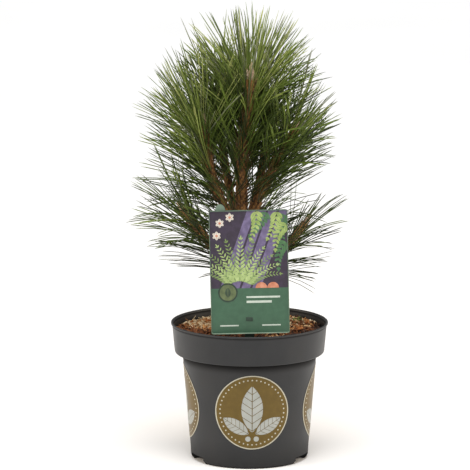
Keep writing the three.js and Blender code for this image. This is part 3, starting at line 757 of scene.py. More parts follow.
def frond(x, z, turn, length, leaves, curl):
    """Places for the leaves of one frond, in pairs along a stalk that curls over."""
    places = []
    for i in range(leaves):
        share = i / (leaves - 1)
        heading = turn + curl * share
        x += math.sin(heading) * length / leaves
        z += math.cos(heading) * length / leaves
        size = between(1, 0.35, share) * length / FROND_LENGTH
        places += [(x, z, heading + side * LEAFLET_TURN, size) for side in (-1, 1)]
    return places + [(x, z, heading, 0.5 * length / FROND_LENGTH)]


card = card_body()
card.data.transform(card_stand)
card.name = "card_plastic"
coat(card, mottled("card_plastic", ((96, 116, 100), (104, 125, 108), (112, 134, 117)),
                   12 * MM, (0.35, 0.45), 0.5 * MM, 0.01 * MM), 30)
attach(card, "root")
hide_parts("label_card")

left, right = PRINT_EDGE - CARD_WIDTH / 2, CARD_WIDTH / 2 - PRINT_EDGE
picture = ((left, BAND_TOP), (right, CARD_HEIGHT - PRINT_EDGE))
inked(plate(*picture), "print_plum", 1, ((40, 31, 46), (46, 36, 54), (54, 43, 64)))
inked(plate((left, PRINT_EDGE), (right, BAND_TOP)), "print_green", 1,
      ((50, 86, 64), (53, 90, 67), (57, 94, 71)))
rays = joined([plate((x, 0), (x + SLAT_WIDTH, 200 * MM)) for x in SLATS], "rays")
rays.data.transform(Matrix.Rotation(SLAT_TURN, 4, "Y"))
inked(within(rays, *picture), "print_ray", 2, ((84, 74, 106), (98, 88, 122), (112, 102, 138)))
for name, layer, shades, turns in (
        ("print_fern_back", 3, ((106, 130, 72), (118, 142, 82), (130, 154, 92)),
         (-58, -34, -12, 14, 38, 62)),
        ("print_fern_front", 4, ((146, 168, 104), (158, 180, 116), (170, 190, 128)),
         (-46, -22, 2, 26, 50))):
    fronds = []
    for turn in turns:
        length = between(56, 44, abs(turn) / 60) * MM
        fronds += frond((turn * 0.12 - 12) * MM, 58 * MM, turn * 0.8 * DEGREE, length, 11, turn * 0.012)
    fern = copies(leaf_shape(13 * MM, 1.9 * MM, 0.2 * MM, 20), fronds)
    inked(within(fern, *picture), name, layer, shades)
for name, layer, shades, starts in (
        ("print_leaf_dark", 3, ((58, 98, 62), (70, 112, 70), (84, 128, 80)),
         ((46, 148, 208, -0.7), (22, 152, 196, 0.5), (48, 114, 224, -0.8))),
        ("print_leaf_fresh", 4, ((132, 156, 84), (148, 170, 96), (164, 184, 110)),
         ((34, 152, 182, 0.5), (50, 134, 236, -0.9), (8, 153, 170, 0.6)))):
    sprigs = []
    for x, z, turn, curl in starts:
        sprigs += frond(x * MM, z * MM, turn * DEGREE, 38 * MM, 7, curl)
    leafy = copies(leaf_shape(17 * MM, 4 * MM, 0.4 * MM, 20), sprigs)
    inked(within(leafy, *picture), name, layer, shades)
blooms = [(-34 * MM, 134 * MM), (-22 * MM, 141 * MM), (-38 * MM, 119 * MM)]
petals = [(x, z, i * FULL_TURN / 6, 1) for x, z in blooms for i in range(6)]
flowers = copies(leaf_shape(5.6 * MM, 1.7 * MM, 0.2 * MM, 16), petals)
inked(within(flowers, *picture), "print_petal", 4, ((196, 188, 176), (204, 197, 186), (212, 206, 196)))
eyes = joined([flat_circle(1.5 * MM, 16, x, z) for x, z in blooms], "eyes")
pots = [flat_circle(7 * MM, 32, x, BAND_TOP) for x in (14 * MM, 28 * MM)]
inked(within(joined([eyes, *pots], "warm"), *picture), "print_terracotta", 5,
      ((160, 96, 70), (182, 116, 88), (200, 138, 110)))
inked(ring_shape(SEAL_RADIUS + 1.8 * MM, SEAL_RADIUS, 48, *SEAL), "print_seal_ring", 5,
      ((22, 40, 28), (30, 52, 38), (40, 64, 48)))
inked(flat_circle(SEAL_RADIUS, 48, *SEAL), "print_seal", 4, ((70, 84, 52), (84, 98, 62), (98, 112, 74)))
mark = copies(leaf_shape(12 * MM, 3.4 * MM, 0.6 * MM, 20), [(SEAL[0], SEAL[1] - 6 * MM, 0, 1)])
inked(mark, "print_seal_leaf", 5, ((36, 54, 36), (44, 64, 44), (56, 76, 54)))
bars = [(-4, 43, 36, 45.2), (-4, 37, 26, 39.8), (-36, 9, -14, 10.6), (14, 9, 36, 10.6)]
rules = joined([plate((x0 * MM, z0 * MM), (x1 * MM, z1 * MM)) for x0, z0, x1, z1 in bars], "rules")
inked(rules, "print_rules", 2, ((178, 190, 180), (186, 197, 187), (194, 204, 195)))


def stake_body():
    """The stake, drawn in to its point, and its clip, which comes forward through the card."""
    front = CARD_PLACE.y + CARD_THICKNESS + STAKE_GAP
    tip = SOIL_LEVEL - STAKE_DEPTH
    half = STAKE_WIDTH / 2
    low = (-half, front, tip + STAKE_POINT_LENGTH)
    piece = block(low, (half, front + STAKE_THICKNESS, STAKE_TOP), 0.3 * MM)
    choose(piece.data.vertices, lambda corner: corner.co.z < tip + STAKE_POINT_LENGTH + MM)
    for faces_or_edges in (piece.data.edges, piece.data.polygons):
        choose(faces_or_edges, lambda part: all(piece.data.vertices[i].select for i in part.vertices))
    with editing(everything=False):
        bpy.ops.mesh.extrude_region_move(TRANSFORM_OT_translate={"value": (0, 0, -STAKE_POINT_LENGTH)})
        middle = (0, front + STAKE_THICKNESS / 2, tip)
        bpy.ops.transform.resize(value=STAKE_POINT, center_override=middle)
    clip_foot = CARD_PLACE.z + CLIP_RISE
    clip = block((-CLIP_HALF_WIDTH, CARD_PLACE.y - CLIP_PROUD, clip_foot),
                 (CLIP_HALF_WIDTH, front + 0.4 * MM, clip_foot + CLIP_HEIGHT), 0.6 * MM)
    return joined([piece, clip], "stake_moulding")


stake = stake_body()
coat(stake, mottled("stake_plastic", ((20, 38, 28), (27, 48, 36), (36, 60, 46)),
                    8 * MM, (0.4, 0.52), 0.6 * MM, 0.02 * MM), 30)
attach(stake, "root")
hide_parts("label_stake")

# Trunk and boughs: woody stems in scaly orange-brown bark. The leader bows to the left and comes back,
# and each bough leaves it in an upright plane with a lean that changes evenly. The bark of each is a sheet,
# rolled round its stem and pressed into the spiral of raised pads on which the needles stood.
TRUNK_FOOT = SOIL_LEVEL + 0.3 * MM
TRUNK_TIP = 462 * MM
TRUNK_RADII = (9.2 * MM, 5.4 * MM)
ROOT_FLARE = 4.5 * MM
ROOT_LOBES = 5
ROOT_LOBE_DEPTH = 0.35
ROOT_FLARE_FALL = 22
LEADER_BOW = 10.5 * MM
LEADER_SWAY = 3 * MM
LEADER_TIP_SHIFT = 1.5 * MM
BOUGHS = {
    "left": dict(height=268, azimuth=193, leans=(35, 2), length=153, bare=0.27, pairs=190),
    "right": dict(height=262, azimuth=-12, leans=(15, 33), length=156, bare=0.25, pairs=128),
    "back_left": dict(height=258, azimuth=122, leans=(31, 6), length=190, bare=0.33, pairs=135),
    "back_right": dict(height=264, azimuth=54, leans=(30, 8), length=170, bare=0.34, pairs=82),
    "lower_left": dict(height=212, azimuth=187, leans=(42, 37), length=122, bare=0.26, pairs=72),
    "lower_right": dict(height=208, azimuth=6, leans=(48, 36), length=106, bare=0.26, pairs=64),
    "lower_back": dict(height=220, azimuth=95, leans=(52, 36), length=112, bare=0.28, pairs=56),
    "lower_front": dict(height=204, azimuth=262, leans=(36, 14), length=94, bare=0.3, pairs=40),
}
BOUGH_RADII = (5.6 * MM, 4.3 * MM)
BOUGH_COLLAR = 1.6 * MM
BOUGH_COLLAR_FALL = 16
GOLDEN_ANGLE = 137.508 * DEGREE
PAD_LENGTH = 7 * MM
PAD_PITCH = 0.42 * MM
PAD_PITCH_RADIUS = 7 * MM
PAD_HEIGHT = 0.95 * MM
PAD_LIP = 1.1 * MM
PAD_HALF_WIDTHS = (0.5, 2.1)
PAD_SINK = 0.35


def unit(vectors):
    """The vectors at length 1."""
    return vectors / np.linalg.norm(vectors, axis=-1, keepdims=True)


def leader_place(share):
    """The leader's middle line."""
    share = np.asarray(share, float)
    bow = -LEADER_BOW * np.sin(math.pi * np.clip(share, 0, 1) ** 1.2) ** 1.2
    sway = LEADER_SWAY * np.sin(FULL_TURN * share)
    return np.stack([bow + LEADER_TIP_SHIFT * share, sway, between(TRUNK_FOOT, TRUNK_TIP, share)], -1)


def leader_at(share):
    """Place, direction and two cross directions on the leader, at shares of its length."""
    share = np.asarray(share, float)
    along = unit(leader_place(share + 0.01) - leader_place(share - 0.01))
    aside = unit(np.cross(along, (1, 0, 0)))
    return leader_place(share), along, np.cross(aside, along), aside


def bough_at(bough):
    """The same for a bough, which lies in an upright plane."""
    foot = leader_place((bough["height"] * MM - TRUNK_FOOT) / (TRUNK_TIP - TRUNK_FOOT))
    lean_foot, lean_tip = (lean * DEGREE for lean in bough["leans"])
    azimuth = bough["azimuth"] * DEGREE
    outward = np.array([math.cos(azimuth), math.sin(azimuth), 0])
    across = np.array([-outward[1], outward[0], 0])
    curl = bough["length"] * MM / (lean_tip - lean_foot)

    def at(share):
        lean = between(lean_foot, lean_tip, np.asarray(share, float))[..., None]
        place = foot + outward * curl * (math.cos(lean_foot) - np.cos(lean))
        place = place + np.array([0, 0, curl]) * (np.sin(lean) - math.sin(lean_foot))
        along = outward * np.sin(lean) + np.array([0, 0, 1]) * np.cos(lean)
        sideways = np.broadcast_to(across, along.shape)
        return place, along, sideways, np.cross(along, sideways)
    return at


def pad_relief(distance, angle, radius):
    """How far the bark stands out there, from 0 to 1: a narrow pad that widens and rises to a blunt lip.
    Pads follow one another up the stem a golden angle apart."""
    best = np.zeros_like(distance)
    pitch = PAD_PITCH * PAD_PITCH_RADIUS / radius.mean()
    nearest = np.round(distance / pitch)
    for step in range(-int(1.6 * MM / pitch), int(PAD_LENGTH / pitch) + 1):
        index = nearest + step
        below = index * pitch - distance
        wander = 0.5 * (chance(index, 3) - 0.5)
        turn = (angle - index * GOLDEN_ANGLE + wander + math.pi) % FULL_TURN - math.pi
        share = np.clip(1 - below / PAD_LENGTH, 0, 1)
        lip = np.clip((below + PAD_LIP) / PAD_LIP, 0, 1)
        half_width = between(*PAD_HALF_WIDTHS, share) * MM
        ridge = np.clip(1 - (np.abs(turn) * radius / half_width) ** 2, 0, 1)
        best = np.maximum(best, ridge * share ** 0.8 * lip * between(0.7, 1, chance(index, 4)))
    return best


def rolled_bark(name, at, length, span, radius_at, sides, rings, height, material):
    """A sheet of bark rolled round a stem between two shares of its length, with its ends closed."""
    piece = blank(bpy.ops.mesh.primitive_grid_add, x_subdivisions=sides, y_subdivisions=rings, size=1)
    piece.name = name
    sheet = np.zeros(len(piece.data.vertices) * 3, np.float32)
    piece.data.vertices.foreach_get("co", sheet)
    sheet = sheet.reshape(-1, 3).astype(float) + 0.5
    angle, share = FULL_TURN * sheet[:, 0], between(*span, sheet[:, 1])
    place, along, across, aside = at(share)
    outward = across * np.cos(angle)[:, None] + aside * np.sin(angle)[:, None]
    radius = radius_at(share, angle)
    relief = pad_relief(share * length, angle, radius)
    corners = place + outward * (radius - PAD_SINK * height + relief * height)[:, None]
    piece.data.vertices.foreach_set("co", corners.astype(np.float32).ravel())
    shade = piece.data.attributes.new("relief", "FLOAT", "POINT")
    shade.data.foreach_set("value", relief.astype(np.float32))
    with editing():
        bpy.ops.mesh.remove_doubles(threshold=0.005 * MM)
        bpy.ops.mesh.select_all(action="DESELECT")
        bpy.ops.mesh.select_non_manifold(extend=False)
        bpy.ops.mesh.fill_holes(sides=0)
        bpy.ops.mesh.select_all(action="SELECT")
        bpy.ops.mesh.normals_make_consistent(inside=False)
    coat(piece, material, 50)
    return piece


def bark_finish():
    """Bark: dark brown in the grooves and a paler orange-brown on the pads, with darker patches."""
    material = mottled("bark", ((66, 44, 22), (118, 82, 42), (152, 116, 68)),
                       4 * MM, (0.7, 0.92), 0.6 * MM, 0.25 * MM)
    tree = material.node_tree
    # The colour is darker in the grooves and paler on the pads, by the height of the bark's relief.
    pad_rise = shaded(tree, "ShaderNodeAttribute", "Fac", {}, attribute_name="relief")
    ramp = shaded(tree, "ShaderNodeValToRGB", "Color", {"Fac": pad_rise})
    low, high = ramp.node.color_ramp.elements
    low.position, low.color = 0.02, colour(58, 38, 20)
    high.position, high.color = 0.75, colour(176, 124, 68)
    link_shader(tree, {"Base Color": blend(tree, 0.62, shader_feed(tree, "Base Color"), ramp)})
    return material


def trunk_radius(share, angle):
    """The trunk's taper, with lobes at its root flare."""
    lobes = 1 + ROOT_LOBE_DEPTH * np.cos(ROOT_LOBES * angle + 0.6)
    return between(*TRUNK_RADII, share) + ROOT_FLARE * np.exp(-ROOT_FLARE_FALL * share) * lobes


def bough_radius(share, _):
    """A bough's taper, with a collar where it leaves the trunk."""
    return between(*BOUGH_RADII, share) + BOUGH_COLLAR * np.exp(-BOUGH_COLLAR_FALL * share)


bark_skin = bark_finish()
leader_length = TRUNK_TIP - TRUNK_FOOT
trunk = rolled_bark("trunk_bark", leader_at, leader_length, (0, 1), trunk_radius,
                    60, 420, PAD_HEIGHT, bark_skin)
for corner in trunk.data.vertices:
    corner.co.z = max(corner.co.z, TRUNK_FOOT)
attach(trunk, "root")
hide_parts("trunk")
stems = {"leader": (leader_at, leader_length)}
for name, bough in BOUGHS.items():
    stems[name] = (bough_at(bough), bough["length"] * MM)
    limb = rolled_bark(f"bough_bark_{name}", *stems[name], (0, 1), bough_radius,
                       44, int(bough["length"] * 1.3), 0.8 * PAD_HEIGHT, bark_skin)
    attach(limb, "root")
    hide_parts(f"bough_{name}", f"needles_{name}")

# Needles: long, stiff and in pairs, each pair in a short brown sheath that stands on its stem. They grow
# by the source's rule, many more of them and at life size, but not in the crown's openings. Each needle is
# a closed blade of few faces. The pairs are dealt into seven greens at random, lighter at shoot tips, and
# with
# painted light and shade: lighter higher up in the crown and darkest, as painted shade, in its core.
MASSES = [name for name in sorted(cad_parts) if name.startswith("needles_")]
SLEEVES = [
    {"from": 306, "to": 346, "pairs": 30, "tipness": (0, 0.1)},
    {"from": 351, "to": 400, "pairs": 120, "tipness": (0.1, 0.35)},
    {"from": 405, "to": 459, "pairs": 210, "tipness": (0.35, 1)},
]
NEEDLE_LENGTH = 102 * MM
NEEDLE_LEANS = {"foot": (44, 76), "tip": (8, 66)}
NEEDLE_LENGTHS = (0.82, 1.16)
NEEDLE_DROOP = 0.24
NEEDLE_HALF_WIDTH = 0.58 * MM
NEEDLE_HALF_THICKNESS = 0.38 * MM
NEEDLE_STOPS = np.array([0, 0.06, 0.25, 0.47, 0.7, 0.92, 1])
NEEDLE_WIDTHS = np.array([0.75, 0.95, 1, 1, 0.98, 0.86, 0.12])
SHORTENED = np.linspace(0.66, 1, 18)
TRIES = 8
OPENING = (0.02, 0.075)
PAIR_APART = 0.35 * MM
PAIR_LENGTHS = (0.94, 1)
DROOP_SHARES = (0.2, 1.2)
SAG_POWER = 2.4
ROOT_DEPTH = 0.7 * MM
SHEATH_LENGTH = 9 * MM
SHEATH_RADIUS = 1.05 * MM
CROWN_LEVELS = np.array([
    (196, 12, 78), (240, -4, 104), (303, -15, 140), (370, -14, 122), (440, -13, 125),
    (492, -14, 102), (532, -9, 80), (552, -8, 62), (563, -7, 0),
]) * MM
VIEW_SLOPE = 0.19
WINDOW_MIDDLE = -13 * MM
WINDOW_LEVELS = np.array([(294, 0), (300, 46), (320, 42), (350, 36), (385, 26), (415, 12), (440, 0)]) * MM
LEFT_IN_WINDOW = 0.3
# Gaps in the crown: their middle, half width and half height in millimetres, and the share left in them.
GAPS = [
    (108, 341, 30, 18, 0.12),
    (79, 333, 14, 10, 0.1),
    (58, 315, 12, 9, 0.25),
    (-122, 358, 26, 28, 0.2),
    (96, 282, 28, 28, 0.2),
    (-114, 306, 24, 20, 0.35),
    (50, 466, 20, 16, 0.6),
    (-41, 532, 9, 16, 0.35),
    (17, 532, 9, 16, 0.55),
    (-76, 243, 38, 17, 0.32),
    (-97, 276, 30, 24, 0.6),
    (64, 246, 25, 22, 0.28),
    (75, 390, 24, 30, 0.72),
]
BARE_FRONT = {"from": 404 * MM, "faces": -0.25, "left": 0.28, "half_width": 22 * MM, "within": 20 * MM}
BARE_BUDS = {"from": 432 * MM, "left": 0.05}
SPRAY = 2
UPLIFT = 0.28
STRAY = 0.42
REACH_SHARES = (0.86, 1.05)
OUTER_SIDE = 0.45
WANDER = 0.26
LOW_SPREAD = 0.5
LOW_FREE_RISE = 0.35
LOW_STEEPNESS = 0.86
LOW_BESIDE = 0.45
LOW_AHEAD = 0.5
LIMB_ROOM = 0.4 * MM
LABEL_ROOM = 3 * MM
LABEL_ROOM_BEHIND = 6 * MM
RIM_ROOM = 6 * MM
# Painted light and shade on the needles: the crown's core, where they are dealt darker greens, the weights
# of random tone, shoot tips, height and core, and the rise over which they are dealt lighter greens higher
# up.
CORE_RADIUS = 62 * MM
CORE_TOP = 475 * MM
CORE_FADE = 60 * MM
NEEDLE_TONE_AND_PAINTED_LIGHT = {"spray": 0.25, "pair": 0.65, "height": 0.5, "tip": 0.1, "core": -0.36}
PAINTED_LIGHT_FROM = 250 * MM
PAINTED_LIGHT_RISE = 200 * MM
NEEDLE_SHADES = {
    "shade": (0.2, ((28, 38, 9), (36, 48, 12), (45, 58, 17))),
    "deep": (0.21, ((46, 60, 16), (56, 71, 20), (66, 82, 26))),
    "green": (0.2, ((64, 81, 26), (75, 93, 32), (86, 104, 39))),
    "grass": (0.17, ((84, 103, 38), (97, 116, 45), (109, 128, 53))),
    "fresh": (0.13, ((110, 126, 58), (125, 140, 68), (139, 152, 80))),
    "yellow": (0.05, ((140, 150, 82), (155, 163, 95), (170, 176, 112))),
    "grey": (0.04, ((98, 104, 76), (112, 118, 90), (126, 131, 106))),
}


def in_crown(tips, share):
    """Whether each tip is within its own share of the crown's outline."""
    heights, middles, reaches = CROWN_LEVELS.T
    middle = np.interp(tips[:, 2], heights, middles)
    reach = np.interp(tips[:, 2], heights, reaches, left=-1, right=-1)
    return np.hypot(tips[:, 0] - middle, tips[:, 1]) <= reach * share


def needle_rule(at, span, tries, seed, tipness_at, bark_radius_at, outer_side):
    """The source's rule for the roots, courses, lengths and droops of needles on a stem."""
    index = np.arange(tries)
    spray = index // SPRAY
    along_spray = spray * SPREAD_ALONG + 0.08 * (chance(index, seed + 20) - 0.5)
    share = between(*span, (along_spray % 1) ** 0.85)
    place, along, across, aside = at(share)
    turn = FULL_TURN * (spray * SPREAD_ROUND + 0.2 * chance(index, seed))
    turn = turn - outer_side * np.cos(turn)
    outward = across * np.cos(turn)[:, None] + aside * np.sin(turn)[:, None]
    tipness = tipness_at(share)
    least, most = (between(NEEDLE_LEANS["foot"][end], NEEDLE_LEANS["tip"][end], tipness) for end in (0, 1))
    lean_share = np.clip(chance(spray, seed + 1) + 0.5 * (chance(index, seed + 21) - 0.5), 0, 1)
    lean = DEGREE * between(least, most, lean_share)[:, None]
    stray = STRAY * (chance(index, seed + 23)[:, None] - 0.5) * np.cross(along, outward)
    course = unit(along * np.cos(lean) + outward * np.sin(lean) + stray + np.array([0, 0, UPLIFT]))
    root = place + outward * (bark_radius_at(share) - ROOT_DEPTH)[:, None]
    length = NEEDLE_LENGTH * between(*NEEDLE_LENGTHS, chance(index, seed + 2))
    level = np.hypot(course[:, 0], course[:, 1])
    droop = NEEDLE_DROOP * level * (1.15 - course[:, 2]) * between(*DROOP_SHARES, chance(index, seed + 3))
    fitted = np.zeros(tries)
    for shortened in SHORTENED:
        cut = length * shortened
        tip = root + course * cut[:, None]
        tip[:, 2] -= droop * cut
        fitted = np.where(in_crown(tip, between(*REACH_SHARES, chance(index, seed + 22))), cut, fitted)
    return root, course, outward, fitted, droop, tipness


def segment_gaps(starts, ends, a, b):
    """The least distance from each of many stretches to one other stretch."""
    d1, d2 = ends - starts, b - a
    r = starts - a
    aa, e = (d1 * d1).sum(1), float(d2 @ d2)
    bb, c, f = d1 @ d2, (d1 * r).sum(1), r @ d2
    spread = aa * e - bb * bb
    s = np.clip(np.where(spread > 1e-15, (bb * f - c * e) / np.maximum(spread, 1e-15), 0), 0, 1)
    t = np.clip((bb * s + f) / e, 0, 1)
    s = np.clip((bb * t - c) / aa, 0, 1)
    return np.linalg.norm((starts + d1 * s[:, None]) - (a + d2 * t[:, None]), axis=1)


def limb_stretches():
    """Stretches of every stem, with the stem's name and radius, for the needles to miss."""
    found = []
    for name, (at, _) in stems.items():
        pieces = 10 if name == "leader" else 8
        places = at(np.linspace(0, 1, pieces + 1))[0]
        radii = TRUNK_RADII if name == "leader" else BOUGH_RADII
        for i in range(pieces):
            found.append((name, places[i], places[i + 1], between(*radii, i / pieces)))
    return found


def is_open(points):
    """Whether each point is above the rim and away from the label."""
    x, y, z = points.T
    beside = np.abs(x - CARD_PLACE.x) > CARD_WIDTH / 2 + LABEL_ROOM
    above = z > CARD_PLACE.z + CARD_HEIGHT + LABEL_ROOM
    behind = y > CARD_PLACE.y + LABEL_ROOM_BEHIND
    return (z > POT_HEIGHT + RIM_ROOM) & (beside | above | behind)


def needle_lines(root, course, length, droop, bend):
    """Points along needles, which sag more and more towards their tips."""
    t = NEEDLE_STOPS[None, :, None]
    reach = length[:, None, None]
    lines = root[:, None] + course[:, None] * t * reach + bend[:, None] * (t * t) * reach
    lines[:, :, 2] -= (droop * length)[:, None] * NEEDLE_STOPS ** SAG_POWER
    return lines


def is_clear(lines, owner):
    """Whether each needle stays in open space and misses every other stem."""
    clear = np.ones(len(lines), bool)
    for stop in range(1, lines.shape[1]):
        clear &= is_open(lines[:, stop])
    for name, a, b, radius in LIMBS:
        for first, last in ((0, 2), (2, 4), (4, 6)):
            if name == owner and first == 0:
                continue
            gap = segment_gaps(lines[:, first], lines[:, last], a, b)
            clear &= gap > radius + NEEDLE_HALF_WIDTH + LIMB_ROOM
    return clear


def is_thinned(lines, outward, index, seed):
    """Needles left out: most of those over and behind the label, where the stems and the sky show,
    most in the crown's gaps, and most of those in front of the leader's tip and its buds."""
    heights, reaches = WINDOW_LEVELS.T
    outer = lines[:, 3:]
    x, y, z = np.concatenate([outer, (outer[:, :-1] + outer[:, 1:]) / 2], 1).transpose(2, 0, 1)
    z = z + VIEW_SLOPE * y
    left = chance(index, seed + 12)[:, None]
    reach = np.interp(z, heights, reaches, left=0, right=0)
    out = (np.abs(x - WINDOW_MIDDLE) < reach) & (left > LEFT_IN_WINDOW)
    for gap_x, gap_z, across, up, share in GAPS:
        out |= (np.hypot((x / MM - gap_x) / across, (z / MM - gap_z) / up) < 1) & (left > share)
    in_front = (lines[:, 0, 2] > BARE_FRONT["from"]) & (outward[:, 1] < BARE_FRONT["faces"])
    in_front &= np.abs(lines[:, 3, 0] - lines[:, 0, 0]) < BARE_FRONT["half_width"]
    in_front &= np.hypot(lines[:, 0, 0], lines[:, 0, 1]) < BARE_FRONT["within"]
    most = np.where(lines[:, 0, 2] > BARE_BUDS["from"], BARE_BUDS["left"], BARE_FRONT["left"])
    return out.any(1) | (in_front & (left[:, 0] > most))


def blades(lines, facing):
    """Closed blades along the lines: four corners a stop, flat on the side that they face."""
    along = unit(np.gradient(lines, axis=1))
    side = unit(np.cross(along, facing[:, None]))
    out = np.cross(side, along)
    width = (NEEDLE_WIDTHS * NEEDLE_HALF_WIDTH)[None, :, None]
    thick = (NEEDLE_WIDTHS * NEEDLE_HALF_THICKNESS)[None, :, None]
    section = [(-1, -0.5), (1, -0.5), (0.55, 1), (-0.55, 1)]
    corners = [lines + side * width * u + out * thick * v for u, v in section]
    return np.stack(corners, 2).reshape(len(lines), -1, 3)


def sheaths(root, course, facing):
    """Short closed sheaths round the foot of each pair, frayed thinner at the lip."""
    side = unit(np.cross(course, facing))
    rings = []
    for distance, radius in ((-1.5 * MM, 0.9), (0.45 * SHEATH_LENGTH, 1.08), (SHEATH_LENGTH, 0.62)):
        for corner in range(4):
            turn = corner * FULL_TURN / 4 + 0.4
            spoke = side * math.cos(turn) + facing * math.sin(turn)
            rings.append(root + course * distance + spoke * radius * SHEATH_RADIUS)
    return np.stack(rings, 1)


def is_low_course(course, owner, index, seed):
    """Whether a needle of a lower bough heads outwards, or to a side, and isn't too steep."""
    azimuth = BOUGHS[owner]["azimuth"] * DEGREE
    ahead = course[:, :2] @ np.array([math.cos(azimuth), math.sin(azimuth)])
    beside = course[:, :2] @ np.array([-math.sin(azimuth), math.cos(azimuth)])
    fits = (ahead > LOW_SPREAD * (course[:, 2] - LOW_FREE_RISE)) & (course[:, 2] < LOW_STEEPNESS)
    return fits & ((np.abs(beside) > LOW_BESIDE) | (chance(index, seed + 30) < LOW_AHEAD))


def grow(owner, span, wanted, seed, tipness_at, bark_radius_at):
    """The pairs of needles of one mass: their blades, their sheaths, and a number with painted light in it
    that deals their green.
    """
    tries = wanted * TRIES
    at, outer_side = stems[owner][0], 0 if owner == "leader" else OUTER_SIDE
    root, course, outward, length, droop, tipness = needle_rule(
        at, span, tries, seed, tipness_at, bark_radius_at, outer_side)
    index = np.arange(tries)
    roll = FULL_TURN * chance(index, seed + 5)[:, None]
    side = unit(np.cross(course, outward))
    lift = np.cross(side, course)
    apart = side * np.cos(roll) + lift * np.sin(roll)
    opening = between(*OPENING, chance(index, seed + 6))[:, None]
    wander = (chance(index, seed + 7)[:, None] - 0.5) * WANDER
    pair = []
    for sign in (1, -1):
        heading = unit(course + sign * opening * apart)
        bend = apart * (-0.25 * sign * opening) + side * wander
        short = length * between(*PAIR_LENGTHS, chance(index, seed + 8 + sign))
        pair.append(needle_lines(root + sign * PAIR_APART * apart, heading, short, droop, bend))
    kept = (length > 0) & ~is_thinned(pair[0], outward, index, seed)
    kept &= is_clear(pair[0], owner) & is_clear(pair[1], owner)
    if owner.startswith("lower"):
        kept &= is_low_course(course, owner, index, seed)
    kept = np.flatnonzero(kept)[:wanted]
    made = np.stack([blades(pair[0][kept], -apart[kept]), blades(pair[1][kept], apart[kept])], 1)
    x, y, z = root[kept].T
    # Painted light and shade: needles higher up are dealt lighter greens and those in the crown's core
    # darker ones, besides random tone and lighter shoot tips.
    painted_core_shade = np.clip(1 - np.hypot(x, y) / CORE_RADIUS, 0, 1) * np.clip((CORE_TOP - z) / CORE_FADE, 0, 1)
    light = NEEDLE_TONE_AND_PAINTED_LIGHT["spray"] * chance(kept // SPRAY, seed + 9) + NEEDLE_TONE_AND_PAINTED_LIGHT["pair"] * chance(kept, seed + 13)
    light += NEEDLE_TONE_AND_PAINTED_LIGHT["height"] * (z - PAINTED_LIGHT_FROM) / PAINTED_LIGHT_RISE
    light += NEEDLE_TONE_AND_PAINTED_LIGHT["tip"] * tipness[kept] + NEEDLE_TONE_AND_PAINTED_LIGHT["core"] * painted_core_shade
    return made, sheaths(root[kept], course[kept], apart[kept]), light


LIMBS = limb_stretches()
grown = []
for number, sleeve in enumerate(SLEEVES):
    span = [(sleeve[end] * MM - TRUNK_FOOT) / leader_length for end in ("from", "to")]
    tipness = sleeve["tipness"]
    grown.append(grow("leader", span, sleeve["pairs"], 11 + 17 * number,
                      lambda share: between(*tipness, (share - span[0]) / (span[1] - span[0])),
                      lambda share: between(*TRUNK_RADII, share)))
for number, (name, bough) in enumerate(BOUGHS.items()):
    bare = bough["bare"]
    grown.append(grow(name, (bare - 0.03, 0.985), bough["pairs"], 101 + 23 * number,
                      lambda share: (np.maximum(share - bare, 0) / (1 - bare)) ** 1.3,
                      lambda share: between(*BOUGH_RADII, share)))
pairs = np.concatenate([made for made, _, _ in grown])
lights = np.concatenate([light for _, _, light in grown])
# The greens are dealt by rank of this mix of random tone and painted light and shade, so the seven needle
# materials are partly lit and shaded copies of one green.
ranks = np.argsort(np.argsort(lights)) / len(lights)
for shade, shades, chosen in dealt_out(pairs, ranks, NEEDLE_SHADES):
    skin = mottled(f"needle_{shade}", shades, 14 * MM, (0.4, 0.55), 0.9 * MM, 0.05 * MM, 0.28)
    needles = tube_piece(f"needles_in_{shade}", chosen, len(NEEDLE_STOPS), skin)
    needles.data.polygons.foreach_set("use_smooth", np.ones(len(needles.data.polygons), bool))
    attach(needles, "root")
    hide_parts(*MASSES)
all_sheaths = np.concatenate([made for _, made, _ in grown])
papery = mottled("sheath", ((74, 50, 34), (110, 80, 54), (146, 116, 84)),
                 3 * MM, (0.7, 0.9), 0.5 * MM, 0.2 * MM)
sheath_piece = tube_piece("needle_sheaths", all_sheaths, 3, papery)
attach(sheath_piece, "root")
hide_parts(*MASSES)

# Winter buds: pale resinous cones of overlapping scales, a cluster on the leader and fewer on each bough.
# One bud is rolled like the bark, in closer pads, and copied to each place.
LEADER_BUD = {"length": 22 * MM, "radius": 3.5 * MM, "around": 4}
BOUGH_BUD = {"length": 12 * MM, "radius": 3 * MM, "around": 2}
BUD_LENGTH = 20 * MM
BUD_RADIUS = 3.3 * MM
BUD_HEIGHTS = (0, 0.1, 0.33, 0.6, 0.85, 1)
BUD_WIDTHS = (0.72, 0.9, 1, 0.78, 0.36, 0.02)
SIDE_BUD_LENGTHS = (0.5, 0.65)
SIDE_BUD_RADIUS = 0.62
SIDE_BUD_LEAN = 0.28
SCALE_HEIGHT = 0.5 * MM


def straight_at(share):
    """A straight stem up from the origin, as long as the pattern bud."""
    share = np.asarray(share, float)
    zero, one = np.zeros_like(share), np.ones_like(share)
    place = np.stack([zero, zero, share * BUD_LENGTH], -1)
    return place, *(np.stack(row, -1) for row in ((zero, zero, one), (one, zero, zero), (zero, one, zero)))


def bud_radius(share, _):
    """A bud is widest a third of the way up and pointed."""
    return BUD_RADIUS * np.interp(share, BUD_HEIGHTS, BUD_WIDTHS)


def placed(pattern, foot, direction, length, radius):
    """A copy of the pattern bud at a place, at its own length and radius."""
    size = Matrix.Diagonal((radius / BUD_RADIUS, radius / BUD_RADIUS, length / BUD_LENGTH, 1))
    turn = Vector((0, 0, 1)).rotation_difference(Vector(direction)).to_matrix().to_4x4()
    return duplicate(pattern, Matrix.Translation(foot) @ turn @ size)


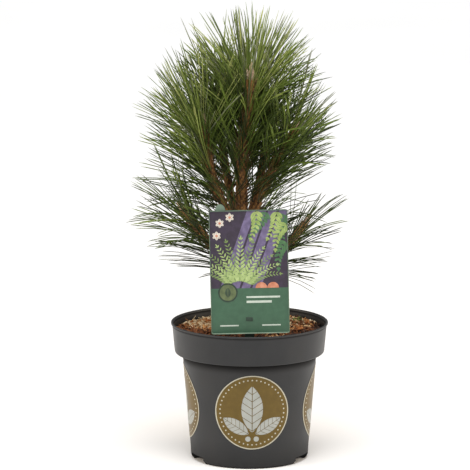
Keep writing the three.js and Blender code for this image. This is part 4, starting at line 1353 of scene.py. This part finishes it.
def bud_cluster(pattern, name, owner, bud):
    """A middle bud and smaller ones that lean out round it."""
    place, along, across, aside = stems[owner][0](1.0)
    foot = place + along * 0.3 * MM
    made = [placed(pattern, foot, along, bud["length"], bud["radius"])]
    for i in range(bud["around"]):
        turn = i * FULL_TURN / bud["around"] + 0.6
        outward = across * math.cos(turn) + aside * math.sin(turn)
        start = foot + outward * 0.7 * bud["radius"] + along * (0.5 * bud["radius"] - 2 * MM)
        length = bud["length"] * between(*SIDE_BUD_LENGTHS, float(chance(i, 7)))
        direction = unit(along + outward * SIDE_BUD_LEAN)
        made.append(placed(pattern, start, direction, length, SIDE_BUD_RADIUS * bud["radius"]))
    return joined(made, name)


bud_skin = mottled("bud", ((150, 120, 96), (182, 156, 130), (208, 188, 164)),
                   2 * MM, (0.5, 0.75), 0.4 * MM, 0.1 * MM)
pattern = rolled_bark("pattern", straight_at, BUD_LENGTH, (0, 1), bud_radius,
                      28, 60, SCALE_HEIGHT, bud_skin)
for owner in stems:
    node = "buds_leader" if owner == "leader" else f"bud_{owner}"
    cluster = bud_cluster(pattern, f"winter_{node}", owner, LEADER_BUD if owner == "leader" else BOUGH_BUD)
    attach(cluster, "root")
    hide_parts(node)
bpy.data.objects.remove(pattern)

# The set: a plain pale floor under a white sky, two large warm lights at the sides, a broad soft sun from
# above, and a camera 5 m in front that looks down a little, as the photograph's did.
FLOOR_SIZE = 60
CAMERA_DISTANCE = 5.0
CAMERA_HEIGHT = 1.2025
CAMERA_PITCH = 10.53 * DEGREE
FOCAL_PIXELS = 4219
FRAME_PIXELS = 470
AXIS_PIXEL = 249.5
SENSOR = 36
FLOOR_SHADES = (238.614,) * 3, (241.046,) * 3, (243.445,) * 3
WARM = colour(255, 236, 212)
SIDE_LIGHT = {"size": 1.3, "power": 17}
SUN_LIGHT = {"size": 40 * DEGREE, "power": 2.4}
SKY_STRENGTH = 0.45


def soft_light(name, kind, place, aim, size, power, shade):
    """A soft light that faces a point: a square panel, or a broad sun whose size is its angle."""
    light = bpy.data.lights.new(name, kind)
    if kind == "SUN":
        light.angle = size
    else:
        light.size = size
    light.energy = power
    light.color = shade[:3]
    lamp = bpy.data.objects.new(name, light)
    bpy.context.collection.objects.link(lamp)
    lamp.location = place
    lamp.rotation_euler = (Vector(aim) - Vector(place)).to_track_quat("-Z", "Y").to_euler()
    return lamp


floor = blank(bpy.ops.mesh.primitive_plane_add, size=FLOOR_SIZE)
floor.name = "floor"
coat(floor, mottled("floor", FLOOR_SHADES, 900 * MM, (0.9, 0.95), 5 * MM, 0.01 * MM))
middle = (0, 0, 0.28)
soft_light("left_light", "AREA", (-1.6, -0.4, 0.8), middle, shade=WARM, **SIDE_LIGHT)
soft_light("right_light", "AREA", (1.6, -0.3, 0.8), middle, shade=WARM, **SIDE_LIGHT)
soft_light("top_light", "SUN", (0, -0.7, 2), middle, shade=colour(255, 255, 255), **SUN_LIGHT)
world = bpy.data.worlds.new("studio")
bpy.context.scene.world = world
world.use_nodes = True
background = world.node_tree.nodes["Background"]
background.inputs["Color"].default_value = (1, 1, 1, 1)
background.inputs["Strength"].default_value = SKY_STRENGTH
bpy.context.scene.view_settings.view_transform = "Standard"

camera = bpy.data.objects.new("camera", bpy.data.cameras.new("camera"))
bpy.context.collection.objects.link(camera)
camera.data.sensor_width = SENSOR
camera.data.lens = FOCAL_PIXELS * SENSOR / FRAME_PIXELS
camera.data.shift_x = (FRAME_PIXELS / 2 - AXIS_PIXEL) / FRAME_PIXELS
camera.data.clip_start = 0.1
camera.data.clip_end = 200
camera.location = (0, -CAMERA_DISTANCE, CAMERA_HEIGHT)
camera.rotation_euler = (math.pi / 2 - CAMERA_PITCH, 0, 0)
bpy.context.scene.camera = camera
